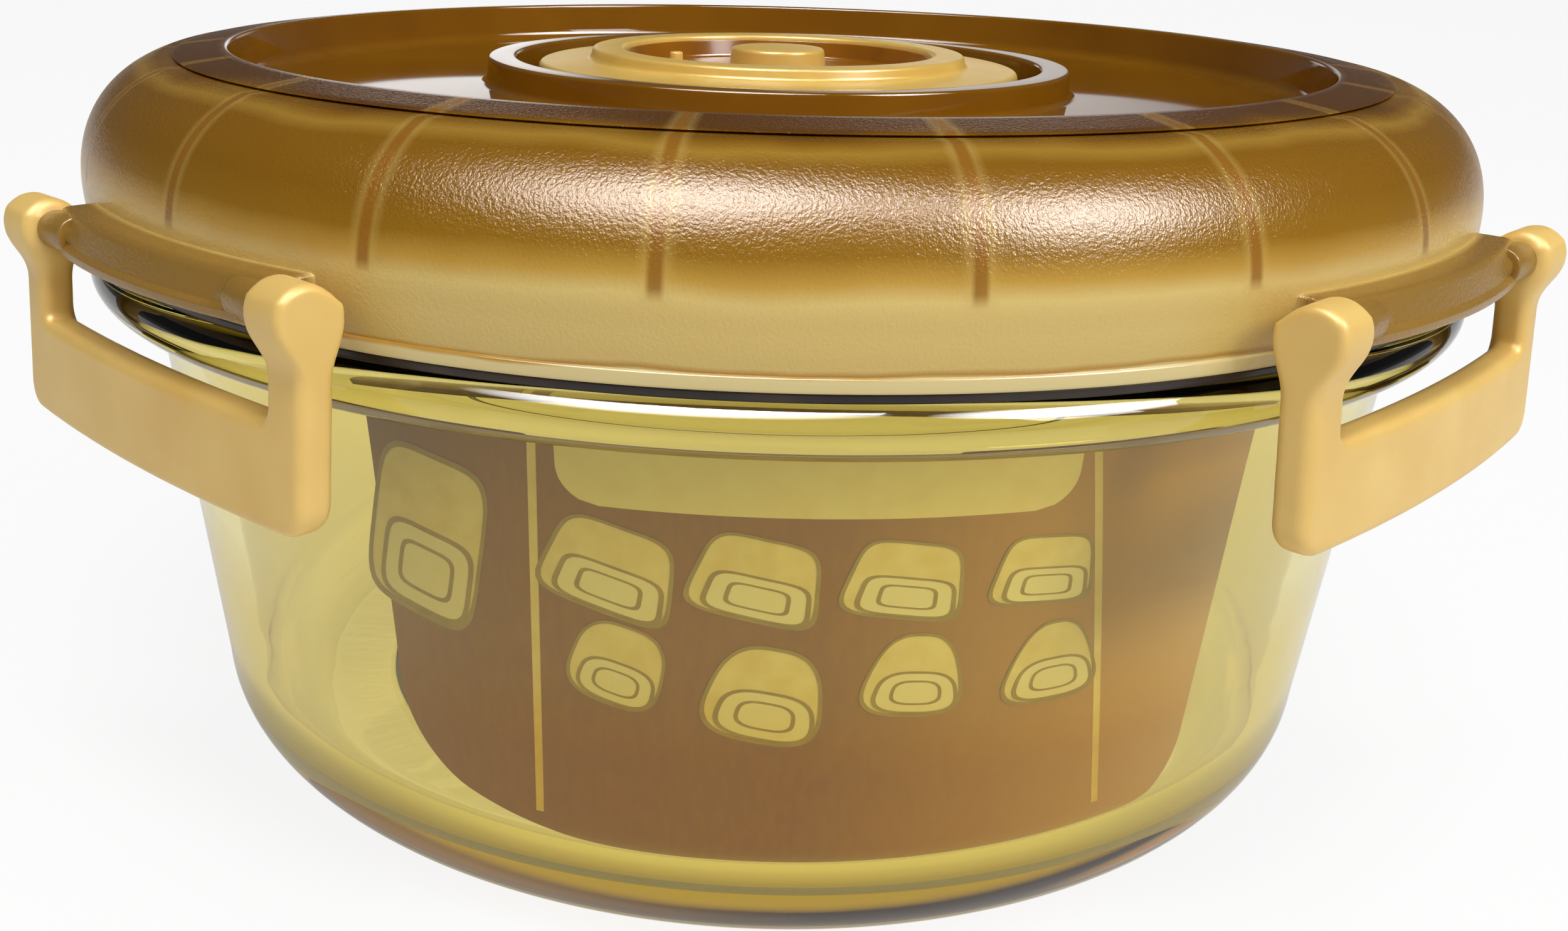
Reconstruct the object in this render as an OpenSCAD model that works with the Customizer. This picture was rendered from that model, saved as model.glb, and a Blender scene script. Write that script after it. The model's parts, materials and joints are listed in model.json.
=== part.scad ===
// Round glass food bowl with a domed lid, four swinging latches and a pull-up vent.
// Millimetres, +Z up, origin at the centre of the base.

/* [Bowl] */
// Diameter over the rim bead
rim_d = 170; // [150:1:200]
// Height of the glass, base to top of rim
bowl_h = 66; // [50:1:90]
// Height of the rim bead
rim_h = 5.6; // [4.5:0.1:7]
// Outer diameter of the wall just under the rim
mouth_d = 156.6; // [146:0.1:157]
// Diameter of the flat base, up to where the heel starts to curve
base_d = 123; // [100:1:128]
// Radius of the heel between base and wall
heel_r = 12; // [6:0.5:12]
// Thickness of the wall
glass_t = 4.2; // [3:0.1:5]
// Thickness of the floor
floor_t = 6; // [4:0.5:9]
// Depth of the hollow under the base
foot_h = 1.2; // [0.5:0.1:2]
// Width of the ring that the bowl stands on
foot_w = 9; // [5:1:15]

/* [Lid] */
// Height of the crest above the top of the glass
lid_h = 21.3; // [19:0.1:26]
// Diameter of the crest
crest_d = 137; // [130:1:139]
// Wall of the lid
lid_t = 2; // [1.6:0.1:2.4]
// Depth of the stacking recess inside the crest
recess_h = 5; // [4:0.1:6]
// Outer diameter of the bottom lip
lip_d = 169; // [160:1:200]
// Height of the bottom lip
lip_h = 1.45; // [1:0.05:2]
// Number of stiffening ribs under the shoulder
rib_count = 20; // [12:4:28]
// Thickness of a rib
rib_t = 1; // [0.8:0.1:1.5]
// Depth that the plug skirt reaches into the bowl
plug_h = 4; // [3:0.5:8]

/* [Seal] */
// Thickness of the seal's flat
seal_t = 0.9; // [0.6:0.1:1.5]
// Width of the tongue that holds the seal in the lid
tongue_w = 3; // [2:0.1:3.4]
// Height of the tongue
tongue_h = 2; // [1:0.1:2.2]

/* [Latches] */
// Number of latches
latch_count = 4;
// Overall width of a latch, end to end
latch_w = 54.4; // [50:0.2:60]
// Thickness of the latch plate
latch_t = 3.6; // [3:0.1:4]
// Height from hinge axis down to the latch's bottom edge
latch_h = 19.8; // [19:0.1:22]
// Height of the solid plate under the window
plate_h = 10.2; // [9:0.1:11.5]
// Width of an arm beside the window
arm_w = 5.2; // [4.5:0.1:6.5]
// Outer diameter of a hinge knuckle
knuckle_d = 6.1; // [5.4:0.1:6.4]
// Radial room between the rim bead and the middle of the latch plate
latch_gap = 1.3; // [1.2:0.1:3]
// Radius that the latch plate is bent to, seen from above
latch_bend = 228; // [120:1:300]
// Outward lean of the plate as it hangs, in degrees
latch_lean = 5; // [3:0.5:8]
// Diameter of the moulded hinge pin
pin_d = 2.6; // [2:0.1:3]
// Radial clearance of the pin in its bore
pin_fit = 0.08; // [0.04:0.01:0.1]
// Clearance between the ends of the hinge bar and the knuckles
side_fit = 0.3; // [0.2:0.05:0.5]
// Radial clearance between the catch ridge and the rim bead as the latch hangs
catch_gap = 0.3; // [0.3:0.1:0.6]
// Length of the catch ridge
catch_w = 32; // [20:1:36]

/* [Vent] */
// Diameter of the vent cap
cap_d = 61; // [56:1:62]
// Diameter of the well it sits in
well_d = 66; // [64:0.5:68]
// Outer diameter of the hub round the well
hub_d = 74; // [72:1:80]
// Outer diameter of the grip ring
grip_d = 47.2; // [44:0.2:50]
// Diameter of the finger recess in the grip ring
finger_d = 39.2; // [34:0.2:41]
// Diameter of the centre knob
knob_d = 11.8; // [10:0.2:14]
// Diameter of the stem
stem_d = 8; // [6:0.5:9]
// Radial air gap round the stem
air_gap = 1; // [0.6:0.1:2]
// How far the vent cap pulls up
vent_travel = 3; // [2:0.5:3.5]

/* [Card] */
// Arc that the card insert covers, in degrees
card_arc = 75; // [60:5:150]
// Direction of the middle of the card, in degrees from the X axis
card_turn = -45; // [-90:1:90]
// Thickness of the card
card_t = 0.5; // [0.4:0.1:1]
// Gap between card and glass
card_gap = 0.4; // [0.3:0.1:0.6]
// How far round the heel the card's lower edge reaches, in degrees
card_heel = 45; // [10:5:60]

/* [Hidden] */
$fn = 96;
ARC_STEPS = 10;      // segments in a rounded stretch of an outline
eps = 0.01;

// Bowl, worked out from the values above
rim_r = rim_d / 2;
mouth_r = mouth_d / 2;
base_r = base_d / 2;
bead_r = rim_h / 2;
bead_c = rim_r - bead_r;                     // centre of the bead
under_z = bowl_h - rim_h;                    // underside of the rim
wall_foot_r = base_r + heel_r;
draft = atan((mouth_r - wall_foot_r) / (under_z - heel_r));
inner_heel_r = heel_r - glass_t / 2;
mouth_in_r = mouth_r - glass_t;
foot_in_r = base_r - foot_w;

// Heights of the lid
seal_z = bowl_h;
lip_z = seal_z + seal_t;                     // underside of the lip
skirt_z = lip_z + lip_h;                     // top of the lip
crest_z = bowl_h + lid_h;
deck_z = crest_z - recess_h;                 // recess floor
flange_z = lip_z + tongue_h + 1.7;           // top of the flange over the seal
crest_r = crest_d / 2;
deck_r = crest_r - 3.1;                      // edge of the flat deck, where its fillet starts
lip_r = lip_d / 2;

// Shoulder of the lid: one cubic curve from the band round the crest to the lip
band_r = crest_r + 6.95;
band_z = crest_z - 1;
skirt_r = lip_r - 0.3;
dome = [[band_r, band_z],
        [band_r + 6.15, band_z - 1.95],
        [skirt_r + 2.3, skirt_z + 10.2],
        [skirt_r, skirt_z]];

// Plug skirt and seal groove
plug_fit = 0.7;
plug_r = mouth_in_r - plug_fit;
plug_in_r = plug_r - 1.6;
tongue_r = plug_r + 4.4;                     // middle of the tongue
tongue_fit = 0.05;

// Hinge bars and latches
plate_out_r = rim_r + latch_gap + latch_t;   // outer face at the top of the plate, in the middle
bend_x = plate_out_r - latch_bend;           // axis that the plate is bent about
hinge_r = rim_r + 1.6;
hinge_z = bowl_h + 5.2;
knuckle_r = knuckle_d / 2;
latch_end = latch_w / 2;
knuckle_w = arm_w + 0.6;
knuckle_in = latch_end - knuckle_w;
window_half = latch_end - arm_w;
bar_half = knuckle_in - side_fit;
bar_out_r = hinge_r + 3.15;
bar_top = 2.3;                               // above the hinge axis
bar_drop = 2;                                // below the hinge axis
plate_z = hinge_z - latch_h;
window_z = plate_z + plate_h;
pin_r = pin_d / 2;
bore_end = latch_end - 1.2;
pin_end = bore_end - 0.3;
catch_z = under_z - 0.8;                     // top of the catch ridge
catch_r = rim_r + catch_gap;                 // crest of the catch ridge

// Vent
cap_r = cap_d / 2;
well_r = well_d / 2;
hub_r = hub_d / 2;
hub_z = crest_z - 1.75;
well_z = deck_z - 1.8;
vent_seal_t = 1;
cap_z = well_z + vent_seal_t;                // underside of the cap
cap_top = crest_z - 2.4;
grip_z = crest_z - 0.65;
finger_z = cap_top - 1.3;
knob_z = crest_z - 0.4;
hole_r = stem_d / 2 + air_gap;
retainer_t = 1.4;
retainer_z = well_z - lid_t - vent_travel - 0.5 - retainer_t;
stem_end_z = retainer_z - 1;

// Points on an arc, centre c, radius r, from angle a to angle b
function arc(c, r, a, b, n = ARC_STEPS) =
    [for (i = [0:n]) let (t = a + (b - a) * i / n) c + r * [cos(t), sin(t)]];

// Point at t on a cubic curve with control points p, and its unit normal
function cubic(p, t) = pow(1 - t, 3) * p[0] + 3 * pow(1 - t, 2) * t * p[1]
                       + 3 * (1 - t) * t * t * p[2] + pow(t, 3) * p[3];
function cubic_dir(p, t) = pow(1 - t, 2) * (p[1] - p[0]) + 2 * (1 - t) * t * (p[2] - p[1])
                           + t * t * (p[3] - p[2]);
function cubic_normal(p, t) = let (d = cubic_dir(p, t)) [-d[1], d[0]] / norm(d);

// Shoulder line, set in by depth
function shoulder(depth, from = 0, to = 1, n = 14) =
    [for (i = [0:n]) let (t = from + (to - from) * i / n)
        cubic(dome, t) - depth * cubic_normal(dome, t)];

function reversed(p) = [for (i = [len(p) - 1:-1:0]) p[i]];

// Radius of the bowl's inner wall at height z
function inner_wall_r(z) = mouth_in_r - (under_z - z) * tan(draft);

// Keeps the part of its children within half a width of a latch's centre line
module slab(half, z0, z1) {
    intersection() {
        children();
        translate([0, -half, z0]) cube([plate_out_r + 10, 2 * half, z1 - z0]);
    }
}

// ---------------------------------------------------------------- bowl

// Centre of the curve between the inner wall and the floor
inner_foot = [inner_wall_r(floor_t + inner_heel_r) - inner_heel_r, floor_t + inner_heel_r];

module glass_bowl() {
    color([0.80, 0.68, 0.25, 0.5]) rotate_extrude() polygon(concat(
        [[0, foot_h], [foot_in_r - 2, foot_h], [foot_in_r, 0]],
        arc([base_r, heel_r], heel_r, -90, -draft),
        [[mouth_r, under_z - 1], [mouth_r + 1, under_z]],
        arc([bead_c, under_z + bead_r], bead_r, -90, 90),
        arc([mouth_in_r + 1.6, bowl_h - 1.6], 1.6, 90, 180, 4),
        [[mouth_in_r, under_z]],
        arc(inner_foot, inner_heel_r, -draft, -90),
        [[0, floor_t]]));
}

module card_insert() {
    high = under_z - 1.5;
    out = card_gap;
    in = card_gap + card_t;
    color([0.55, 0.42, 0.28]) rotate([0, 0, card_turn - card_arc / 2])
        rotate_extrude(angle = card_arc) polygon(concat(
            [[inner_wall_r(high) - in, high], [inner_wall_r(high) - out, high]],
            arc(inner_foot, inner_heel_r - out, -draft, -card_heel, 5),
            arc(inner_foot, inner_heel_r - in, -card_heel, -draft, 5)));
}

// ---------------------------------------------------------------- lid

module shell_profile() {
    groove = tongue_w / 2 + tongue_fit;
    polygon(concat(
        arc([deck_r, deck_z + 1.6], 1.6, -90, 0, 5),
        [[crest_r - 1, crest_z - 0.7]],
        arc([crest_r - 0.2, crest_z - 0.7], 0.7, 160, 80, 5),
        [[band_r - 0.5, band_z + 0.25]],
        shoulder(0),
        [[lip_r, skirt_z - 0.2], [lip_r, lip_z],
         [tongue_r + groove, lip_z], [tongue_r + groove, lip_z + tongue_h + tongue_fit],
         [tongue_r - groove, lip_z + tongue_h + tongue_fit], [tongue_r - groove, lip_z],
         [plug_r, lip_z], [plug_r, bowl_h - plug_h], [plug_in_r, bowl_h - plug_h],
         [plug_in_r, flange_z]],
        reversed(shoulder(lid_t, 0, 0.93)),
        [[crest_r + 1.6, crest_z - 2.3], [crest_r + 0.6, crest_z - 3.3],
         [crest_r + 0.2, deck_z - lid_t], [deck_r, deck_z - lid_t]]));
}

// One radial rib under the shoulder; its outer edge is buried in the wall
module rib() {
    rotate([90, 0, 0]) translate([0, 0, -rib_t / 2]) linear_extrude(rib_t) polygon(concat(
        [[crest_r + 1.7, crest_z - 1.7]],
        shoulder(lid_t / 2, 0, 0.78, 8),
        [[skirt_r - 2.8, skirt_z + 5.9], [skirt_r - 5.5, skirt_z + 8.4],
         [crest_r + 1.7, crest_z - 5.4]]));
}

// Arched ledge that carries one latch, with a pin at each end
module hinge_bar() {
    slab(bar_half, hinge_z - bar_drop - eps, hinge_z + bar_top + eps) rotate_extrude() polygon([
        [skirt_r - 1, hinge_z + bar_top], [bar_out_r - 2.2, hinge_z + bar_top],
        [bar_out_r - 1.3, hinge_z + bar_top - 0.7], [bar_out_r - 0.5, hinge_z - 0.7],
        [bar_out_r, hinge_z - 1.1], [bar_out_r, hinge_z - bar_drop + 0.5],
        [bar_out_r - 0.6, hinge_z - bar_drop], [skirt_r - 1, hinge_z - bar_drop]]);
    translate([hinge_r, 0, hinge_z]) rotate([90, 0, 0]) {
        cylinder(r = pin_r, h = 2 * pin_end, center = true);
        for (side = [-1, 1])
            translate([0, 0, side * (bar_half - 2.5)]) cylinder(r = pin_r + 0.7, h = 5, center = true);
    }
}

module lid_shell() {
    color([0.84, 0.66, 0.32, 0.8]) union() {
        rotate_extrude() shell_profile();
        for (i = [0:rib_count - 1]) rotate([0, 0, i * 360 / rib_count]) rib();
        for (i = [0:latch_count - 1]) rotate([0, 0, i * 360 / latch_count]) hinge_bar();
    }
}

// Flat floor of the stacking recess, one moulding with the shell and the hub
module lid_deck() {
    color([0.72, 0.52, 0.20, 0.8]) rotate_extrude()
        translate([hub_r, deck_z - lid_t]) square([deck_r - hub_r, lid_t]);
}

// Raised ring round the vent, with the floor that the vent seals on
module lid_hub() {
    color([0.72, 0.52, 0.20, 0.8]) rotate_extrude() polygon([
        [hole_r, well_z], [well_r, well_z], [well_r, hub_z - 0.8], [well_r + 1, hub_z],
        [hub_r - 0.7, hub_z], [hub_r, hub_z - 0.7], [hub_r, deck_z - lid_t],
        [hub_r - 1.4, deck_z - lid_t], [well_r + 1.8, well_z - lid_t], [hole_r, well_z - lid_t]]);
}

module lid_seal() {
    half = tongue_w / 2;
    color([0.12, 0.10, 0.09]) rotate_extrude() polygon([
        [mouth_in_r + 1.7, seal_z], [lip_r - 0.5, seal_z], [lip_r - 0.2, seal_z + 0.3],
        [lip_r - 0.2, lip_z], [tongue_r + half, lip_z], [tongue_r + half, lip_z + tongue_h],
        [tongue_r - half, lip_z + tongue_h], [tongue_r - half, lip_z], [mouth_in_r + 1.7, lip_z]]);
}

// ---------------------------------------------------------------- vent

module vent_cap() {
    rest_r = finger_d / 2 - 5.7;             // where the small peg stands in the finger recess
    color([0.90, 0.80, 0.50]) union() {
        rotate_extrude() polygon([
            [0, stem_end_z], [stem_d / 2, stem_end_z], [stem_d / 2, cap_z], [cap_r - 0.8, cap_z],
            [cap_r, cap_z + 0.8], [cap_r, cap_top - 0.7], [cap_r - 0.7, cap_top],
            [grip_d / 2 + 0.6, cap_top + 0.3], [grip_d / 2, cap_top + 0.9],
            [grip_d / 2, grip_z - 0.5], [grip_d / 2 - 0.5, grip_z],
            [finger_d / 2 + 0.6, grip_z], [finger_d / 2, grip_z - 0.6],
            [finger_d / 2 - 0.3, finger_z], [knob_d / 2 + 0.3, finger_z],
            [knob_d / 2, knob_z - 0.6], [knob_d / 2 - 0.6, knob_z], [0, knob_z]]);
        rotate([0, 0, -154.7]) translate([rest_r, 0, finger_z - eps]) cylinder(d = 1.7, h = 2, $fn = 24);
    }
}

module vent_seal() {
    color([0.85, 0.84, 0.80]) rotate_extrude() polygon([
        [cap_r - 6.5, well_z], [cap_r - 1.5, well_z], [cap_r - 1.5, cap_z], [cap_r - 6.5, cap_z]]);
}

module vent_retainer() {
    bore = stem_d / 2 + 0.02;
    color([0.88, 0.86, 0.80]) rotate_extrude() polygon([
        [bore, retainer_z], [stem_d / 2 + 5.5, retainer_z], [stem_d / 2 + 6, retainer_z + 0.5],
        [stem_d / 2 + 6, retainer_z + retainer_t], [bore, retainer_z + retainer_t]]);
}

// ---------------------------------------------------------------- latches

// Outline of the latch seen from outside: a plate, and an arm each side of the window
module latch_outline() {
    corner = 3;
    inner = 1;
    polygon(concat(
        [[-latch_end, hinge_z]],
        arc([-latch_end + corner, plate_z + corner], corner, 180, 270, 6),
        arc([latch_end - corner, plate_z + corner], corner, 270, 360, 6),
        [[latch_end, hinge_z], [window_half, hinge_z]],
        arc([window_half - inner, window_z + inner], inner, 0, -90, 3),
        arc([-window_half + inner, window_z + inner], inner, 270, 180, 3),
        [[-window_half, hinge_z]]));
}

// Radius, about the plate's own axis, of a face set in by depth, at height z
function plate_face_r(z, depth = 0) =
    latch_bend - depth + (window_z - z) * tan(latch_lean);

// Distance from the bowl's axis to that face, t to one side of the latch's middle
function plate_face_x(z, t, depth = 0) =
    bend_x + sqrt(pow(plate_face_r(z, depth), 2) - t * t);

// Bent, leaning sheet that the latch is cut from, rounded along its bottom edge
module latch_sheet() {
    round = latch_t * 0.45;
    top = hinge_z + 1;
    mid = plate_z + round;
    translate([bend_x, 0, 0]) rotate([0, 0, -12]) rotate_extrude(angle = 24) polygon(concat(
        [[plate_face_r(top, latch_t), top]],
        arc([plate_face_r(mid, latch_t - round), mid], round, 180, 270, 4),
        arc([plate_face_r(mid, round), mid], round, 270, 360, 4),
        [[plate_face_r(top), top]]));
}

// Ridge behind the plate that hooks under the rim bead and follows its curve
module catch_ridge() {
    buried = plate_face_x(catch_z, 0, latch_t) + 1.8;
    slab(catch_w / 2, catch_z - 6, catch_z + 1) rotate_extrude() polygon([
        [buried, catch_z - 4.2], [catch_r + 0.7, catch_z - 3.2],
        [catch_r, catch_z - 1.4], [catch_r, catch_z - 0.4], [catch_r + 0.4, catch_z],
        [buried, catch_z]]);
}

// Concave web that blends the outside of the arm into its knuckle
module knuckle_web() {
    low_z = hinge_z - 6.6;
    foot = plate_face_x(low_z, latch_end) - 0.05;
    top = [hinge_r + knuckle_r * cos(50), hinge_z - knuckle_r * sin(50)];
    bend = [foot + 0.3, hinge_z - 4.2];
    polygon(concat([[hinge_r - 1, hinge_z]],
        [for (i = [0:6]) let (t = i / 6)
            pow(1 - t, 2) * top + 2 * (1 - t) * t * bend + t * t * [foot, low_z]],
        [[foot - 1.5, low_z]]));
}

module latch() {
    color([0.89, 0.77, 0.50]) difference() {
        union() {
            intersection() {
                latch_sheet();
                translate([plate_out_r - 14, 0, 0]) rotate([90, 0, 90]) linear_extrude(20) latch_outline();
            }
            catch_ridge();
            for (side = [-1, 1]) {
                translate([hinge_r, side * (latch_end - knuckle_w / 2), hinge_z]) rotate([90, 0, 0])
                    cylinder(r = knuckle_r, h = knuckle_w, center = true);
                translate([0, side * (latch_end - arm_w / 2), 0]) rotate([90, 0, 0])
                    translate([0, 0, -arm_w / 2]) linear_extrude(arm_w) knuckle_web();
            }
        }
        translate([hinge_r, 0, hinge_z]) rotate([90, 0, 0])
            cylinder(r = pin_r + pin_fit, h = 2 * bore_end, center = true);
    }
}

module latch_right() latch();
module latch_back() rotate([0, 0, 90]) latch();
module latch_left() rotate([0, 0, 180]) latch();
module latch_front() rotate([0, 0, 270]) latch();

glass_bowl();
card_insert();
lid_shell();
lid_deck();
lid_hub();
lid_seal();
vent_cap();
vent_seal();
vent_retainer();
latch_front();
latch_right();
latch_back();
latch_left();
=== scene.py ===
"""Looks of a lidded glass food bowl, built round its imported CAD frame.

Shapes are worked out in millimetres as numpy arrays and become metres when a mesh is made.
Angles round the bowl count from +X towards +Y. Every piece sits at the origin with its place in
its mesh, and rides on the CAD body that it belongs to.
"""
import json
import logging
import math
from dataclasses import dataclass, field
from enum import Enum
from typing import Callable, Sequence

import bmesh
import bpy
import numpy as np
from bpy.types import Material, Mesh, Node, NodeSocket, NodeTree, Object
from mathutils import Matrix, Vector


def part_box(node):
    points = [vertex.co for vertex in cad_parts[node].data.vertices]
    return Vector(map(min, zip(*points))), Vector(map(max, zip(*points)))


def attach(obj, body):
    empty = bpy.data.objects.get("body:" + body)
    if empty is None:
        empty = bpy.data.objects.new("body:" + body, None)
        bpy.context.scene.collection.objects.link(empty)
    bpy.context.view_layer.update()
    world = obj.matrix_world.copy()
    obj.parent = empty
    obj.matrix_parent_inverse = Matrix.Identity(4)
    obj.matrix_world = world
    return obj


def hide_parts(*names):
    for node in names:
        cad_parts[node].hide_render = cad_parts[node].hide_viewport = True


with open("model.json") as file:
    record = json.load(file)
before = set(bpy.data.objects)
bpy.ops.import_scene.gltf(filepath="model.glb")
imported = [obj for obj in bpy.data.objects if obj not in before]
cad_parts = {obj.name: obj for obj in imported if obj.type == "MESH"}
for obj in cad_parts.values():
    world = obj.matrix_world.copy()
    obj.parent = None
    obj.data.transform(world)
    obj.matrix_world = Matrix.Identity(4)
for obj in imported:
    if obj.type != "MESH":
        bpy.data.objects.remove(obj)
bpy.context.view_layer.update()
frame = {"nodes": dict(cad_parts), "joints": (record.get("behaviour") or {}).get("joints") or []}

logging.basicConfig(level=logging.INFO, format="%(message)s")
LOG = logging.getLogger("bowl")

Edge = float | Callable[[np.ndarray], np.ndarray]
MM = 0.001
WELD = 0.001 * MM                      # points nearer than this are one point
SEGMENTS = 288                         # steps round the axis of a turned piece
VENT_SEGMENTS = 192                    # the same, for the vent, which is smaller


# ---------------------------------------------------------------- measures from the frame


def high(node: str) -> Vector:
    """Highest corner of a CAD node, in millimetres."""
    return Vector(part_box(node)[1]) / MM


def low(node: str) -> Vector:
    """Lowest corner of a CAD node, in millimetres."""
    return Vector(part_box(node)[0]) / MM


# ---------------------------------------------------------------- meshes


def shade(mesh: Mesh, sharp_angle: float) -> None:
    """Shades a mesh smooth, except at edges that turn by more than sharp_angle degrees."""
    mesh.polygons.foreach_set("use_smooth", np.ones(len(mesh.polygons), dtype=bool))
    mesh.set_sharp_from_angle(angle=math.radians(sharp_angle))


def make_object(name: str, points: np.ndarray, faces: Sequence[Sequence[int]],
                sharp_angle: float = 40.0) -> Object:
    """Makes a mesh object from points in millimetres; a closed skin is made to face outwards.

    Args:
        name: the piece's name.
        points: an (n, 3) array, in millimetres.
        faces: vertex indices of each face.
        sharp_angle: edges that turn by more than this many degrees stay crisp.

    Returns:
        The new object, linked to the scene, at the origin.
    """
    mesh = bpy.data.meshes.new(name)
    mesh.from_pydata((np.asarray(points) * MM).tolist(), [], [list(f) for f in faces])
    mesh.validate()
    skin = bmesh.new()
    skin.from_mesh(mesh)
    if skin.calc_volume(signed=True) < 0:
        bmesh.ops.reverse_faces(skin, faces=skin.faces)
        skin.to_mesh(mesh)
    skin.free()
    shade(mesh, sharp_angle)
    thing = bpy.data.objects.new(name, mesh)
    bpy.context.scene.collection.objects.link(thing)
    return thing


def grid_faces(rows: int, columns: int, wrap_rows: bool = False, wrap_columns: bool = False,
               first: int = 0) -> np.ndarray:
    """Quads of a grid of points stored row by row.

    Each quad joins (i, j), (i + 1, j), (i + 1, j + 1) and (i, j + 1), counted modulo the grid
    where it wraps.

    Args:
        rows: number of rows of points.
        columns: number of points in a row.
        wrap_rows: whether the last row joins the first.
        wrap_columns: whether the last column joins the first.
        first: index of the grid's first point.

    Returns:
        An (n, 4) array of vertex indices.
    """
    i, j = np.meshgrid(np.arange(rows if wrap_rows else rows - 1),
                       np.arange(columns if wrap_columns else columns - 1), indexing="ij")
    i, j = i.ravel(), j.ravel()
    k, l = (i + 1) % rows, (j + 1) % columns
    return first + np.stack([i * columns + j, k * columns + j, k * columns + l, i * columns + l], 1)


def turned(outline: np.ndarray, segments: int = SEGMENTS) -> tuple[np.ndarray, list]:
    """Turns an outline of (radius, height) points round the Z axis into a closed skin.

    The point at angle a and outline position s is (r(s) cos a, r(s) sin a, z(s)). An outline that
    starts and ends on the axis is closed by a pole at each end; any other is joined into a ring.
    It runs anticlockwise in the (r, z) plane, so that the faces point outwards.

    Args:
        outline: an (n, 2) array in millimetres.
        segments: steps round the axis.

    Returns:
        Points and faces.
    """
    outline = np.asarray(outline, float)
    poles = outline[0, 0] < 1e-6 and outline[-1, 0] < 1e-6
    rings = outline[1:-1] if poles else outline
    angle = np.linspace(0, 2 * np.pi, segments, endpoint=False)
    r, z = rings[:, :1], rings[:, 1:]
    points = np.stack([r * np.cos(angle), r * np.sin(angle), z + 0 * angle], -1).reshape(-1, 3)
    faces = grid_faces(len(rings), segments, wrap_rows=not poles, wrap_columns=True)[:, ::-1]
    faces = faces.tolist()
    if poles:
        step = np.arange(segments)
        after = (step + 1) % segments
        start, end = len(points), len(points) + 1
        last = (len(rings) - 1) * segments
        points = np.vstack([points, [[0, 0, outline[0, 1]], [0, 0, outline[-1, 1]]]])
        faces += np.stack([np.full(segments, start), after, step], 1).tolist()
        faces += np.stack([np.full(segments, end), last + step, last + after], 1).tolist()
    return points, faces


def joined(parts: Sequence[tuple[np.ndarray, list]]) -> tuple[np.ndarray, list]:
    """Puts several skins into one list of points and one of faces."""
    points, faces, first = [], [], 0
    for part_points, part_faces in parts:
        points.append(part_points.reshape(-1, 3))
        faces += [[first + k for k in face] for face in part_faces]
        first += len(points[-1])
    return np.vstack(points), faces


def arc(centre: Sequence[float], radius: float, start: float, end: float,
        steps: int) -> np.ndarray:
    """Points on a circular arc: centre + radius (cos a, sin a), a from start to end degrees."""
    a = np.radians(np.linspace(start, end, steps + 1))
    return np.asarray(centre) + radius * np.stack([np.cos(a), np.sin(a)], 1)


def rounded(corners: Sequence[tuple[float, float, float]], steps: int = 6) -> np.ndarray:
    """Closed outline through corners, each rounded by its own radius.

    A corner is cut back by radius * tan(turn / 2) on both sides and the two cuts are joined by a
    quadratic curve through the corner, which is near enough to an arc at these small radii.

    Args:
        corners: (r, z, radius) of each corner.
        steps: segments in a rounded corner.

    Returns:
        An (n, 2) array.
    """
    data = np.asarray(corners, float)
    out = []
    count = len(data)
    for n, (x, y, radius) in enumerate(data):
        here = np.array([x, y])
        if radius <= 0:
            out.append(here[None])
            continue
        back = data[n - 1, :2] - here
        ahead = data[(n + 1) % count, :2] - here
        back_length, ahead_length = np.linalg.norm(back), np.linalg.norm(ahead)
        back, ahead = back / back_length, ahead / ahead_length
        turn = math.pi - math.acos(float(np.clip(back @ ahead, -1, 1)))
        cut = min(radius * math.tan(turn / 2), 0.48 * back_length, 0.48 * ahead_length)
        t = np.linspace(0, 1, steps + 1)[:, None]
        out.append((1 - t) ** 2 * (here + back * cut) + 2 * (1 - t) * t * here
                   + t * t * (here + ahead * cut))
    return np.vstack(out)


def cubic(control: np.ndarray, t: np.ndarray) -> np.ndarray:
    """Points at t on a cubic Bezier curve with four control points."""
    t = t[:, None]
    return ((1 - t) ** 3 * control[0] + 3 * (1 - t) ** 2 * t * control[1]
            + 3 * (1 - t) * t * t * control[2] + t ** 3 * control[3])


def cubic_normal(control: np.ndarray, t: np.ndarray) -> np.ndarray:
    """Unit normals, to the left of travel, at t on a cubic Bezier curve."""
    t = t[:, None]
    d = ((1 - t) ** 2 * (control[1] - control[0]) + 2 * (1 - t) * t * (control[2] - control[1])
         + t * t * (control[3] - control[2]))
    normal = np.stack([-d[:, 1], d[:, 0]], 1)
    return normal / np.linalg.norm(normal, axis=1, keepdims=True)


def turn_z(points: np.ndarray, degrees: float) -> np.ndarray:
    """Turns points about the Z axis by an angle in degrees."""
    c, s = math.cos(math.radians(degrees)), math.sin(math.radians(degrees))
    return points @ np.array([[c, s, 0], [-s, c, 0], [0, 0, 1]])


def union(base: Object, others: Sequence[Object], sharp_angle: float) -> None:
    """Joins closed pieces into one skin, so that light meets no wall inside the material.

    Args:
        base: the piece that keeps its name and takes the others in.
        others: the pieces that are used up.
        sharp_angle: edges that turn by more than this many degrees stay crisp.
    """
    for other in others:
        step = base.modifiers.new("join", "BOOLEAN")
        step.operation = "UNION"
        step.solver = "MANIFOLD"
        step.object = other
    bpy.context.view_layer.update()
    shown = base.evaluated_get(bpy.context.evaluated_depsgraph_get())
    solid = bpy.data.meshes.new_from_object(shown)
    base.modifiers.clear()
    base.data = solid
    skin = bmesh.new()
    skin.from_mesh(solid)
    bmesh.ops.remove_doubles(skin, verts=skin.verts, dist=WELD)
    bmesh.ops.dissolve_degenerate(skin, dist=WELD, edges=skin.edges)
    skin.to_mesh(solid)
    skin.free()
    shade(solid, sharp_angle)
    for other in others:
        bpy.data.objects.remove(other)


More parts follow.
